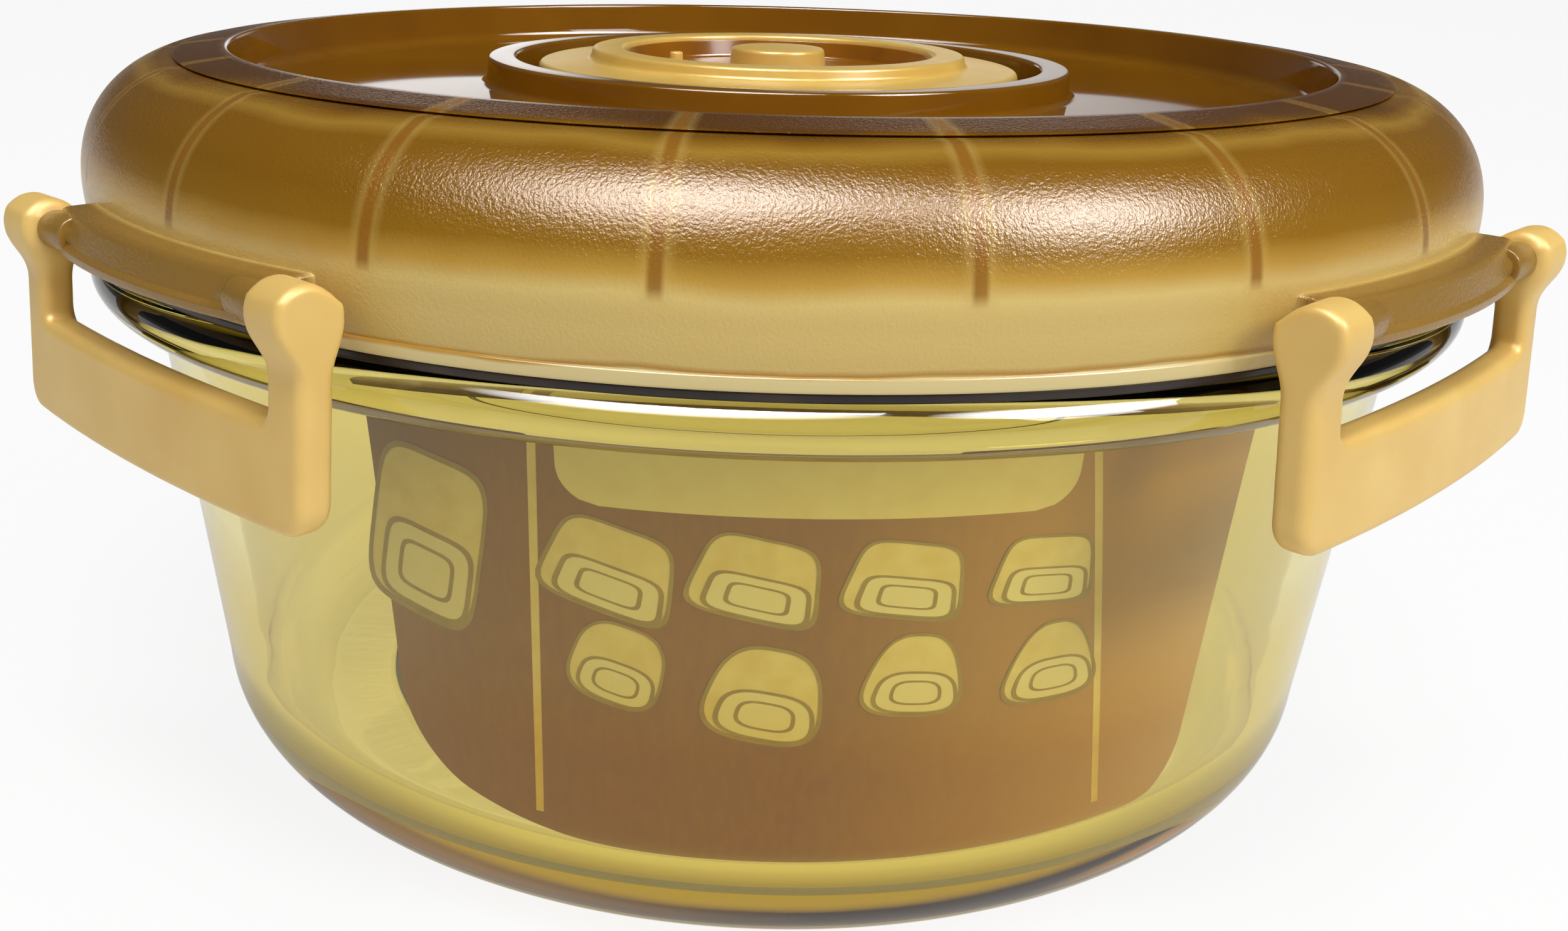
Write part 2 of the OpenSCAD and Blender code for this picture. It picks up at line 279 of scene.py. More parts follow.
def overlap(*sides: np.ndarray, radius: float) -> np.ndarray:
    """Overlap of solids given by their distances, with the edge between them rounded.

    With each side d shifted inwards by the radius, it is the length of the positive parts of all
    the d, plus the greatest d where all are negative, less the radius.

    Args:
        sides: distance to each solid, negative inside.
        radius: radius of the rounded edge.

    Returns:
        The distance to the overlap.
    """
    d = np.stack([side + radius for side in np.broadcast_arrays(*sides)])
    return np.sqrt((np.maximum(d, 0) ** 2).sum(0)) + np.minimum(d.max(0), 0) - radius


def smooth_min(a: np.ndarray, b: np.ndarray, blend: float) -> np.ndarray:
    """Smaller of two distances, with the crease between them filled over a width of blend."""
    h = np.clip(0.5 + 0.5 * (b - a) / blend, 0, 1)
    return b * (1 - h) + a * h - blend * h * (1 - h)


def skin_of(distance: Callable[..., np.ndarray], lowest: Sequence[float], highest: Sequence[float],
            pitch: float) -> tuple[np.ndarray, list]:
    """Closed quad skin where a distance function is zero, by the surface net method.

    The function is sampled on a regular lattice. Each lattice cell that the skin crosses gets one
    point, the mean of the crossings on its twelve edges, and each crossed edge gets one quad
    between the four cells round it. Three Newton steps along the gradient then settle the points
    on the skin itself.

    Args:
        distance: takes x, y, z arrays in millimetres; negative inside.
        lowest: low corner of the sampled box.
        highest: high corner of the sampled box.
        pitch: lattice spacing in millimetres.

    Returns:
        Points and faces.
    """
    axes = [np.arange(a, b + pitch, pitch) for a, b in zip(lowest, highest)]
    value = distance(*np.meshgrid(*axes, indexing="ij"))
    cells = tuple(n - 1 for n in value.shape)
    total, count = np.zeros(cells + (3,)), np.zeros(cells)
    crossings = []
    for axis in range(3):
        near = np.take(value, np.arange(value.shape[axis] - 1), axis)
        far = np.take(value, np.arange(1, value.shape[axis]), axis)
        crossed = (near < 0) != (far < 0)
        place = np.stack(np.nonzero(crossed), 1)
        share = near[crossed] / (near[crossed] - far[crossed])
        where = place.astype(float)
        where[:, axis] += share
        others = [k for k in range(3) if k != axis]
        inner = np.all([(place[:, k] > 0) & (place[:, k] < value.shape[k] - 1) for k in others], 0)
        place, where, falling = place[inner], where[inner], near[crossed][inner] < 0
        ring = []
        for shift in ((0, 0), (1, 0), (1, 1), (0, 1)):
            cell = place.copy()
            cell[:, others[0]] -= shift[0]
            cell[:, others[1]] -= shift[1]
            index = tuple(cell.T)
            np.add.at(total, index, where)
            np.add.at(count, index, 1)
            ring.append(np.ravel_multi_index(index, cells))
        quad = np.stack(ring, 1)
        flip = falling if axis != 1 else ~falling
        quad[~flip] = quad[~flip][:, ::-1]
        crossings.append(quad)
    used = np.nonzero(count.ravel())[0]
    number = np.full(count.size, -1)
    number[used] = np.arange(len(used))
    points = total.reshape(-1, 3)[used] / count.ravel()[used, None] * pitch + np.asarray(lowest, float)
    small = 0.02
    for _ in range(3):
        gradient = np.stack([(distance(*(points + small * e).T) - distance(*(points - small * e).T))
                             / (2 * small) for e in np.eye(3)], 1)
        size = np.maximum((gradient ** 2).sum(1, keepdims=True), 0.05)
        step = distance(*points.T)[:, None] * gradient / size
        points = points - np.clip(step, -0.4 * pitch, 0.4 * pitch)
    return points, number[np.vstack(crossings)].tolist()


# ---------------------------------------------------------------- materials


def colour(code: str) -> tuple[float, ...]:
    """Linear colour of an sRGB hex code such as "E3C582"."""
    parts = [int(code[k:k + 2], 16) / 255 for k in (0, 2, 4)]
    return tuple(c / 12.92 if c <= 0.04045 else ((c + 0.055) / 1.055) ** 2.4 for c in parts) + (1.0,)


def add_node(tree: NodeTree, kind: str, settings: dict | None = None, inputs: dict | None = None,
             stops: Sequence[tuple[float, tuple]] = ()) -> Node:
    """Adds a node with its settings and links.

    Args:
        tree: the node tree.
        kind: the node's type, without the word ShaderNode.
        settings: attributes to set.
        inputs: socket name or number to a value, to the output socket that feeds it, or to a
            node, whose first output then feeds it.
        stops: place and colour of each stop, where the node is a colour ramp.

    Returns:
        The node.
    """
    node = tree.nodes.new("ShaderNode" + kind)
    for key, value in (settings or {}).items():
        setattr(node, key, value)
    for key, value in (inputs or {}).items():
        value = value.outputs[0] if isinstance(value, Node) else value
        if isinstance(value, NodeSocket):
            tree.links.new(value, node.inputs[key])
        else:
            node.inputs[key].default_value = value
    while stops and len(node.color_ramp.elements) < len(stops):
        node.color_ramp.elements.new(1.0)
    for number, (place, value) in enumerate(stops):
        node.color_ramp.elements[number].position = place
        node.color_ramp.elements[number].color = value
    return node


def new_tree(name: str) -> tuple[Material, NodeTree, NodeSocket]:
    """Empty material; returns it, its tree and its Object coordinate socket."""
    material = bpy.data.materials.new(name)
    material.use_nodes = True
    tree = material.node_tree
    tree.nodes.clear()
    return material, tree, add_node(tree, "TexCoord").outputs["Object"]


def absorption(through: str, depth_mm: float, density: float) -> tuple[float, ...]:
    """Colour of a volume absorption that leaves `through` of white light after depth_mm.

    The rate per metre is -ln(through) / depth, and the node absorbs density * (1 - colour).
    """
    rates = [-math.log(c) / (depth_mm * MM) for c in colour(through)[:3]]
    return tuple(1 - rate / density for rate in rates) + (1.0,)


@dataclass(frozen=True)
class PressedGlass:
    """Amber soda glass, pressed in a mould and fire polished.

    An amber lustre on its surfaces tints each crossing, and the body adds to it over a long way
    through the glass: pale straw through a wall, olive brown along the heel. Pressing leaves long,
    faint waves round the wall.
    """

    name: str = "amber_pressed_glass"
    lustre: str = "F0E7B5"             # square of the tint of one crossing
    leaving: str = "EADA80"            # tint of a crossing after a mirroring inside the foot
    shadow: str = "F4F0E2"             # tint of the light that falls through to the floor
    through: str = "D2C164"            # colour that is left after crossing `depth_mm`
    depth_mm: float = 50.0
    wave_mm: float = 14.0
    wave_height_mm: float = 0.05
    density: float = 60.0
    foot_z: float = 24.0               # below this, light mirrored inside leaves the glass,
    wall_z: float = 34.0               # and above this it doesn't

    def build(self) -> Material:
        """Builds the material.

        Rays from lamps pass it, tinted, so that it casts a light shadow. In the thick foot, rays
        that the glass mirrors inside leave at the next face, so that none is trapped there.
        """
        material, tree, place = new_tree(self.name)
        stretch = add_node(tree, "Mapping", inputs={"Vector": place, "Scale": (1.0, 1.0, 2.2)})
        waves = add_node(tree, "TexNoise", inputs={
            "Vector": stretch, "Scale": 1 / (self.wave_mm * MM), "Detail": 1.0})
        bump = add_node(tree, "Bump", inputs={
            "Height": waves, "Strength": 0.5, "Distance": self.wave_height_mm * MM})
        glass = add_node(tree, "BsdfPrincipled", inputs={
            "Base Color": colour(self.lustre), "Roughness": 0.0, "IOR": 1.5,
            "Transmission Weight": 1.0, "Normal": bump})
        shadow = add_node(tree, "BsdfTransparent", inputs={"Color": colour(self.shadow)})
        leaving = add_node(tree, "BsdfTransparent", inputs={"Color": colour(self.leaving)})
        path = add_node(tree, "LightPath").outputs
        axes = add_node(tree, "SeparateXYZ", inputs={0: place})
        in_foot = add_node(tree, "MapRange", inputs={
            "Value": axes.outputs[2], "From Min": self.foot_z * MM, "From Max": self.wall_z * MM,
            "To Min": 1.0, "To Max": 0.0})
        foot = add_node(tree, "MixShader", inputs={0: in_foot, 1: glass, 2: leaving})
        lit = add_node(tree, "MixShader", inputs={0: path["Is Reflection Ray"], 1: glass, 2: foot})
        surface = add_node(tree, "MixShader", inputs={0: path["Is Shadow Ray"], 1: lit, 2: shadow})
        depth = add_node(tree, "VolumeAbsorption", inputs={
            "Color": absorption(self.through, self.depth_mm, self.density),
            "Density": self.density})
        add_node(tree, "OutputMaterial", inputs={"Surface": surface, "Volume": depth})
        return material


@dataclass(frozen=True)
class SparkedPlastic:
    """Honey-coloured translucent copolyester, moulded against a spark-eroded tool.

    The shoulder carries the tool's coarse grain, which scatters highlights into glitter and veils
    what is behind it; the deck, the hub and the lip are polished. Its colour is painted by height,
    partly the plastic's own amber and partly painted light and shade: pale straw at the lip is
    painted light from behind, the brown towards the top is painted shade of the dark inside, and a
    painted glossy strip and a painted dark band lie near the crest. The deck's brown is partly
    painted shade too, and the ribs behind the shoulder are painted as darker lines of shade in a
    paler halo of painted light.
    """

    lip_z: float                       # underside of the lip
    crest_z: float
    crest_r: float
    lip_h: float
    bar_r: float                       # where the hinge bars begin
    ribs: int
    name: str = "honey_copolyester"
    # the deck's brown: partly its own amber, partly painted shade of the dark inside seen through it
    deck_tint_and_shade: tuple[str, str] = ("80520D", "8E5F10")
    bar_tone: str = "A07A36"
    through: str = "D9B468"            # colour that is left after crossing `depth_mm`
    depth_mm: float = 8.0
    density: float = 300.0
    streak_mm: float = 18.18           # size of the streaks in its colour
    drift_mm: float = 0.9              # how far they move it up or down
    grain_mm: float = 0.34
    grain_height_mm: float = 0.07
    polished: float = 0.05             # roughness of the deck, the hub and the lip
    grained: float = 0.22              # roughness of the shoulder
    transmission: float = 0.22
    # colour at a share of the way from the lip's underside to the crest; partly the plastic's amber,
    # partly painted light and shade: pale straw low down is painted light from behind, the brown above
    # is painted shade of the dark inside, 0.92 is a painted glossy strip and the top a painted dark band
    tones: tuple[tuple[float, str], ...] = (
        (0.0, "E6D193"), (0.06, "E6D193"), (0.075, "C08F35"), (0.10, "DFC071"), (0.30, "E0C274"),
        (0.38, "E4C87A"), (0.46, "C99E42"), (0.56, "9C7019"), (0.70, "8E6212"), (0.88, "8E6212"),
        (0.92, "AF8630"), (0.95, "8E6212"), (0.975, "663E0B"), (1.0, "663E0B"))
    # painted halo and line of a rib seen through the wall, a paler halo of painted light and a darker
    # line of painted shade: colour, half width where it is full and where it ends, the height where it
    # starts, all in mm, and strength
    rib_painted_shade_and_light: tuple[tuple[str, float, float, float, float], ...] = (
        ("D8B765", 0.8, 1.7, 73.4, 0.3), ("96600E", 0.4, 0.85, 74.2, 0.8))

    def rib_distance(self, tree: NodeTree, x: NodeSocket, y: NodeSocket) -> Node:
        """Adds the distance from the middle of the nearest rib, in metres.

        It is |fract(angle / step + 1/2) - 1/2| times the arc of a step halfway up the shoulder.

        Args:
            tree: the node tree.
            x: socket of the X coordinate.
            y: socket of the Y coordinate.

        Returns:
            The node whose output is the distance.
        """
        step = 2 * math.pi / self.ribs
        off = add_node(tree, "Math", {"operation": "ARCTAN2"}, {0: y, 1: x})
        for operation, number in (("DIVIDE", step), ("ADD", 0.5), ("FRACT", 0.0), ("SUBTRACT", 0.5),
                                  ("ABSOLUTE", 0.0), ("MULTIPLY", step * (self.crest_r + 12) * MM)):
            off = add_node(tree, "Math", {"operation": operation}, {0: off, 1: number})
        return off

    def build(self) -> Material:
        """Builds the material; grain and roughness fade in outside the crest and above the lip."""
        material, tree, place = new_tree(self.name)
        x, y, z = add_node(tree, "SeparateXYZ", inputs={0: place}).outputs
        flat = add_node(tree, "CombineXYZ", inputs={0: x, 1: y})
        radius = add_node(tree, "VectorMath", {"operation": "LENGTH"}, {0: flat}).outputs["Value"]
        outside = add_node(tree, "MapRange", inputs={
            "Value": radius, "From Min": (self.crest_r - 0.9) * MM,
            "From Max": (self.crest_r + 0.1) * MM})
        lip_top = self.lip_z + self.lip_h
        above = add_node(tree, "MapRange", inputs={
            "Value": z, "From Min": (lip_top - 0.3) * MM, "From Max": (lip_top + 0.5) * MM})
        zone = add_node(tree, "Math", {"operation": "MULTIPLY"}, {0: outside, 1: above})
        # colour by height, partly the plastic's amber and partly painted light and shade, with slow
        # streaks from the flow of the melt
        streaks = add_node(tree, "TexNoise", inputs={
            "Vector": place, "Scale": 1 / (self.streak_mm * MM), "Detail": 2.0})
        drift = add_node(tree, "MapRange", inputs={
            "Value": streaks, "To Min": -self.drift_mm * MM, "To Max": self.drift_mm * MM})
        height = add_node(tree, "Math", {"operation": "ADD"}, {0: z, 1: drift})
        share = add_node(tree, "MapRange", inputs={
            "Value": height, "From Min": self.lip_z * MM, "From Max": self.crest_z * MM})
        tone = add_node(tree, "ValToRGB", inputs={0: share}, stops=[
            (at, colour(code)) for at, code in self.tones])
        off = self.rib_distance(tree, x, y)
        # painted see-through of each rib: a darker line of painted shade in a paler halo of painted light
        for code, near, far, low_z, strength in self.rib_painted_shade_and_light:
            line = add_node(tree, "MapRange", inputs={
                "Value": off, "From Min": near * MM, "From Max": far * MM, "To Min": strength,
                "To Max": 0.0})
            start = add_node(tree, "MapRange", inputs={
                "Value": z, "From Min": low_z * MM, "From Max": (low_z + 1.2) * MM})
            mask = add_node(tree, "Math", {"operation": "MULTIPLY"}, {0: line, 1: start})
            mask = add_node(tree, "Math", {"operation": "MULTIPLY"}, {0: mask, 1: outside})
            tone = add_node(tree, "MixRGB", inputs={0: mask, 1: tone, 2: colour(code)})
        # painted shade on the deck, partly its own amber, varied by the slow streaks
        deck = add_node(tree, "ValToRGB", inputs={0: streaks}, stops=[
            (0.3, colour(self.deck_tint_and_shade[0])), (0.7, colour(self.deck_tint_and_shade[1]))])
        tone = add_node(tree, "MixRGB", inputs={0: outside, 1: deck, 2: tone})
        # the hinge bars, outside the lip, are solid and so darker
        beyond = add_node(tree, "MapRange", inputs={
            "Value": radius, "From Min": self.bar_r * MM, "From Max": (self.bar_r + 1) * MM})
        tone = add_node(tree, "MixRGB", inputs={0: beyond, 1: tone, 2: colour(self.bar_tone)})
        grain = add_node(tree, "TexNoise", inputs={
            "Vector": place, "Scale": 1 / (self.grain_mm * MM), "Detail": 2.0, "Roughness": 0.6})
        bump = add_node(tree, "Bump", inputs={
            "Height": grain, "Strength": zone, "Distance": self.grain_height_mm * MM})
        rough = add_node(tree, "MapRange", inputs={
            "Value": zone, "To Min": self.polished, "To Max": self.grained})
        shader = add_node(tree, "BsdfPrincipled", inputs={
            "Base Color": tone, "Roughness": rough, "IOR": 1.5, "Specular IOR Level": 0.3,
            "Transmission Weight": self.transmission, "Normal": bump})
        depth = add_node(tree, "VolumeAbsorption", inputs={
            "Color": absorption(self.through, self.depth_mm, self.density),
            "Density": self.density})
        add_node(tree, "OutputMaterial", inputs={"Surface": shader, "Volume": depth})
        return material


@dataclass(frozen=True)
class CreamPlastic:
    """Opaque cream polypropylene, moulded with a fine satin grain.

    It lets a little light in, which warms its edges, and its gloss is broken by the grain.
    """

    name: str = "cream_polypropylene"
    base: str = "E2BF70"
    shade: str = "D9B260"
    roughness: float = 0.42
    patch_mm: float = 11.11
    grain_mm: float = 0.6
    grain_height_mm: float = 0.02

    def build(self) -> Material:
        """Builds the material: base and shade are mixed by slow noise, grain sets the bump."""
        material, tree, place = new_tree(self.name)
        slow = add_node(tree, "TexNoise", inputs={
            "Vector": place, "Scale": 1 / (self.patch_mm * MM), "Detail": 2.0})
        tone = add_node(tree, "ValToRGB", inputs={0: slow}, stops=[
            (0.3, colour(self.shade)), (0.7, colour(self.base))])
        grain = add_node(tree, "TexNoise", inputs={
            "Vector": place, "Scale": 1 / (self.grain_mm * MM), "Detail": 2.0})
        bump = add_node(tree, "Bump", inputs={
            "Height": grain, "Strength": 0.25, "Distance": self.grain_height_mm * MM})
        rough = add_node(tree, "MapRange", inputs={
            "Value": grain, "To Min": self.roughness - 0.05, "To Max": self.roughness + 0.06})
        shader = add_node(tree, "BsdfPrincipled", inputs={
            "Base Color": tone, "Roughness": rough, "IOR": 1.49, "Subsurface Weight": 0.25,
            "Subsurface Radius": (1.0, 0.55, 0.2), "Subsurface Scale": 1.2 * MM, "Normal": bump})
        add_node(tree, "OutputMaterial", inputs={"Surface": shader})
        return material


@dataclass(frozen=True)
class Silicone:
    """Cast silicone rubber: dull, slightly soft looking, with a faint bloom of dust."""

    name: str = "dark_silicone"
    base: str = "1E1713"
    bloom: str = "3A2E26"
    roughness: float = 0.34
    patch_mm: float = 6.25
    patch_height_mm: float = 0.03

    def build(self) -> Material:
        """Builds the material: bloom lies over the base in soft patches."""
        material, tree, place = new_tree(self.name)
        patches = add_node(tree, "TexNoise", inputs={
            "Vector": place, "Scale": 1 / (self.patch_mm * MM), "Detail": 3.0})
        tone = add_node(tree, "ValToRGB", inputs={0: patches}, stops=[
            (0.35, colour(self.base)), (0.8, colour(self.bloom))])
        bump = add_node(tree, "Bump", inputs={
            "Height": patches, "Strength": 0.3, "Distance": self.patch_height_mm * MM})
        shader = add_node(tree, "BsdfPrincipled", inputs={
            "Base Color": tone, "Roughness": self.roughness, "IOR": 1.41, "Normal": bump})
        add_node(tree, "OutputMaterial", inputs={"Surface": shader})
        return material


@dataclass(frozen=True)
class KraftCard:
    """Coated kraft board: a brown face with short fibres and a soft mottle, drawn paler towards its right
    edge as painted light, where more light falls on it.
    """

    middle: float                      # turn of the card's middle round the bowl, degrees
    name: str = "kraft_card"
    base: str = "A87C12"
    dark: str = "9A700C"
    # painted light: the tan that the face pales to towards its right edge
    tan: str = "E6BC68"
    roughness: float = 0.55
    fibre_mm: float = 0.8
    fibre_height_mm: float = 0.03
    # painted light: where the paling towards the right edge starts and where it is full
    painted_light_from: float = 2.0             # to the right of the card's middle, mm
    painted_light_to: float = 46.0

    def build(self) -> Material:
        """Builds the material: fibres are noise stretched along the height of the card."""
        material, tree, place = new_tree(self.name)
        stretch = add_node(tree, "Mapping", inputs={"Vector": place, "Scale": (1.0, 1.0, 0.3)})
        fibre = add_node(tree, "TexNoise", inputs={
            "Vector": stretch, "Scale": 1 / (self.fibre_mm * MM), "Detail": 3.0})
        tone = add_node(tree, "ValToRGB", inputs={0: fibre}, stops=[
            (0.25, colour(self.dark)), (0.75, colour(self.base))])
        # painted light: the face pales to tan from the middle to the right edge, where more light falls
        # on it
        rightward = math.radians(self.middle + 90)
        across = add_node(tree, "VectorMath", {"operation": "DOT_PRODUCT"}, {
            0: place, 1: (math.cos(rightward), math.sin(rightward), 0.0)})
        pale = add_node(tree, "MapRange", inputs={
            "Value": across.outputs["Value"], "From Min": self.painted_light_from * MM,
            "From Max": self.painted_light_to * MM, "To Max": 0.9})
        tone = add_node(tree, "MixRGB", inputs={0: pale, 1: tone, 2: colour(self.tan)})
        bump = add_node(tree, "Bump", inputs={
            "Height": fibre, "Strength": 0.05, "Distance": self.fibre_height_mm * MM})
        shader = add_node(tree, "BsdfPrincipled", inputs={
            "Base Color": tone, "Roughness": self.roughness, "Specular IOR Level": 0.2, "Normal": bump})
        add_node(tree, "OutputMaterial", inputs={"Surface": shader})
        return material


@dataclass(frozen=True)
class PrintedInk:
    """Offset ink on card: flat, a little mottled where the board's fibres lift it."""

    name: str
    base: str
    fade: str
    roughness: float = 0.5
    mottle_mm: float = 3.03
    mottle_height_mm: float = 0.02

    def build(self) -> Material:
        """Builds the material: the ink's two tones follow a mottle."""
        material, tree, place = new_tree(self.name)
        mottle = add_node(tree, "TexNoise", inputs={
            "Vector": place, "Scale": 1 / (self.mottle_mm * MM), "Detail": 3.0})
        tone = add_node(tree, "ValToRGB", inputs={0: mottle}, stops=[
            (0.3, colour(self.fade)), (0.7, colour(self.base))])
        bump = add_node(tree, "Bump", inputs={
            "Height": mottle, "Strength": 0.1, "Distance": self.mottle_height_mm * MM})
        shader = add_node(tree, "BsdfPrincipled", inputs={
            "Base Color": tone, "Roughness": self.roughness, "Normal": bump})
        add_node(tree, "OutputMaterial", inputs={"Surface": shader})
        return material


class Body(Enum):
    """CAD bodies that pieces ride on."""

    BOWL = "bowl"
    LID = "lid"
    VENT = "vent"


def fit_out(piece: Object, material: Material, body: str, slot: str, *stands_for: str) -> None:
    """Gives a piece its material and the body it rides on, and hides the nodes it replaces."""
    piece.data.materials.clear()
    piece.data.materials.append(material)
    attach(piece, body)
    if stands_for:
        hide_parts(*stands_for)
    LOG.info("%s: %d faces on %s", piece.name, len(piece.data.polygons), body)


# ---------------------------------------------------------------- bowl


@dataclass
class GlassBowl:
    """The pressed glass bowl: foot ring, rounded heel, tapering wall and rim bead."""

    rim_r: float = field(default_factory=lambda: high("glass_bowl").x)
    height: float = field(default_factory=lambda: high("glass_bowl").z)
    bead_h: float = 5.6
    mouth_r: float = 78.3
    base_r: float = 61.5
    heel_r: float = 12.0
    wall: float = 4.2
    floor: float = 6.0
    foot_h: float = 1.2
    foot_w: float = 9.0

    @property
    def under_z(self) -> float:
        """Height of the underside of the rim bead."""
        return self.height - self.bead_h

    @property
    def draft(self) -> float:
        """Lean of the wall, in degrees from upright."""
        return math.degrees(math.atan2(self.mouth_r - self.base_r - self.heel_r,
                                       self.under_z - self.heel_r))

    def inner_r(self, z: float | np.ndarray) -> float | np.ndarray:
        """Radius of the inner wall at a height."""
        return self.mouth_r - self.wall - (self.under_z - z) * math.tan(math.radians(self.draft))

    def outline(self) -> np.ndarray:
        """Outline of the glass from the axis under the base, up outside, and down inside."""
        bead_r = self.bead_h / 2
        inner_heel = self.heel_r - self.wall / 2
        foot_z = self.floor + inner_heel
        inner_centre = (self.inner_r(foot_z) - inner_heel, foot_z)
        wall_z = np.linspace(self.heel_r + 1, self.under_z - 2, 12)
        slope = (self.mouth_r - self.base_r - self.heel_r) / (self.under_z - self.heel_r)
        outer = np.stack([self.base_r + self.heel_r + (wall_z - self.heel_r) * slope, wall_z], 1)
        inner_z = np.linspace(self.under_z - 0.5, foot_z + 1, 12)
        inner = np.stack([self.inner_r(inner_z), inner_z], 1)
        foot_in = self.base_r - self.foot_w
        return np.vstack([
            [[0, self.foot_h], [20, self.foot_h], [foot_in - 4, self.foot_h]],
            cubic(np.array([[foot_in - 2.2, self.foot_h], [foot_in - 1.0, self.foot_h],
                            [foot_in - 1.0, 0.0], [foot_in + 0.4, 0.0]]), np.linspace(0, 1, 8)),
            arc((self.base_r, self.heel_r), self.heel_r, -90, -self.draft, 16),
            outer,
            cubic(np.array([[self.mouth_r - 0.1, self.under_z - 1.6], [self.mouth_r, self.under_z - 0.2],
                            [self.mouth_r + 0.2, self.under_z], [self.mouth_r + 1.6, self.under_z]]),
                  np.linspace(0, 1, 7)),
            arc((self.rim_r - bead_r, self.under_z + bead_r), bead_r, -90, 90, 20),
            arc((self.inner_r(self.under_z) + 1.6, self.height - 1.6), 1.6, 90, 180, 8),
            inner,
            arc(inner_centre, inner_heel, -self.draft, -90, 14),
            [[inner_centre[0] * 0.6, self.floor], [15, self.floor], [0, self.floor]]])

    def build(self) -> None:
        """Builds the bowl."""
        bowl = make_object("amber_bowl", *turned(self.outline()), sharp_angle=60)
        fit_out(bowl, PressedGlass().build(), Body.BOWL.value, "glass", "glass_bowl")


@dataclass(frozen=True)
class Tub:
    """A generic food tub drawn on the card, upside down, with its lid towards the bottom."""

    turn: float                        # from the card's middle, degrees
    height: float                      # of the drawing's middle, mm
    half_w: float = 6.0
    half_h: float = 5.3
    tilt: float = 10.0
    taper: float = 0.15                # how much narrower the top is than the middle
    squareness: float = 4.0            # 2 is an ellipse, more is a rounded rectangle


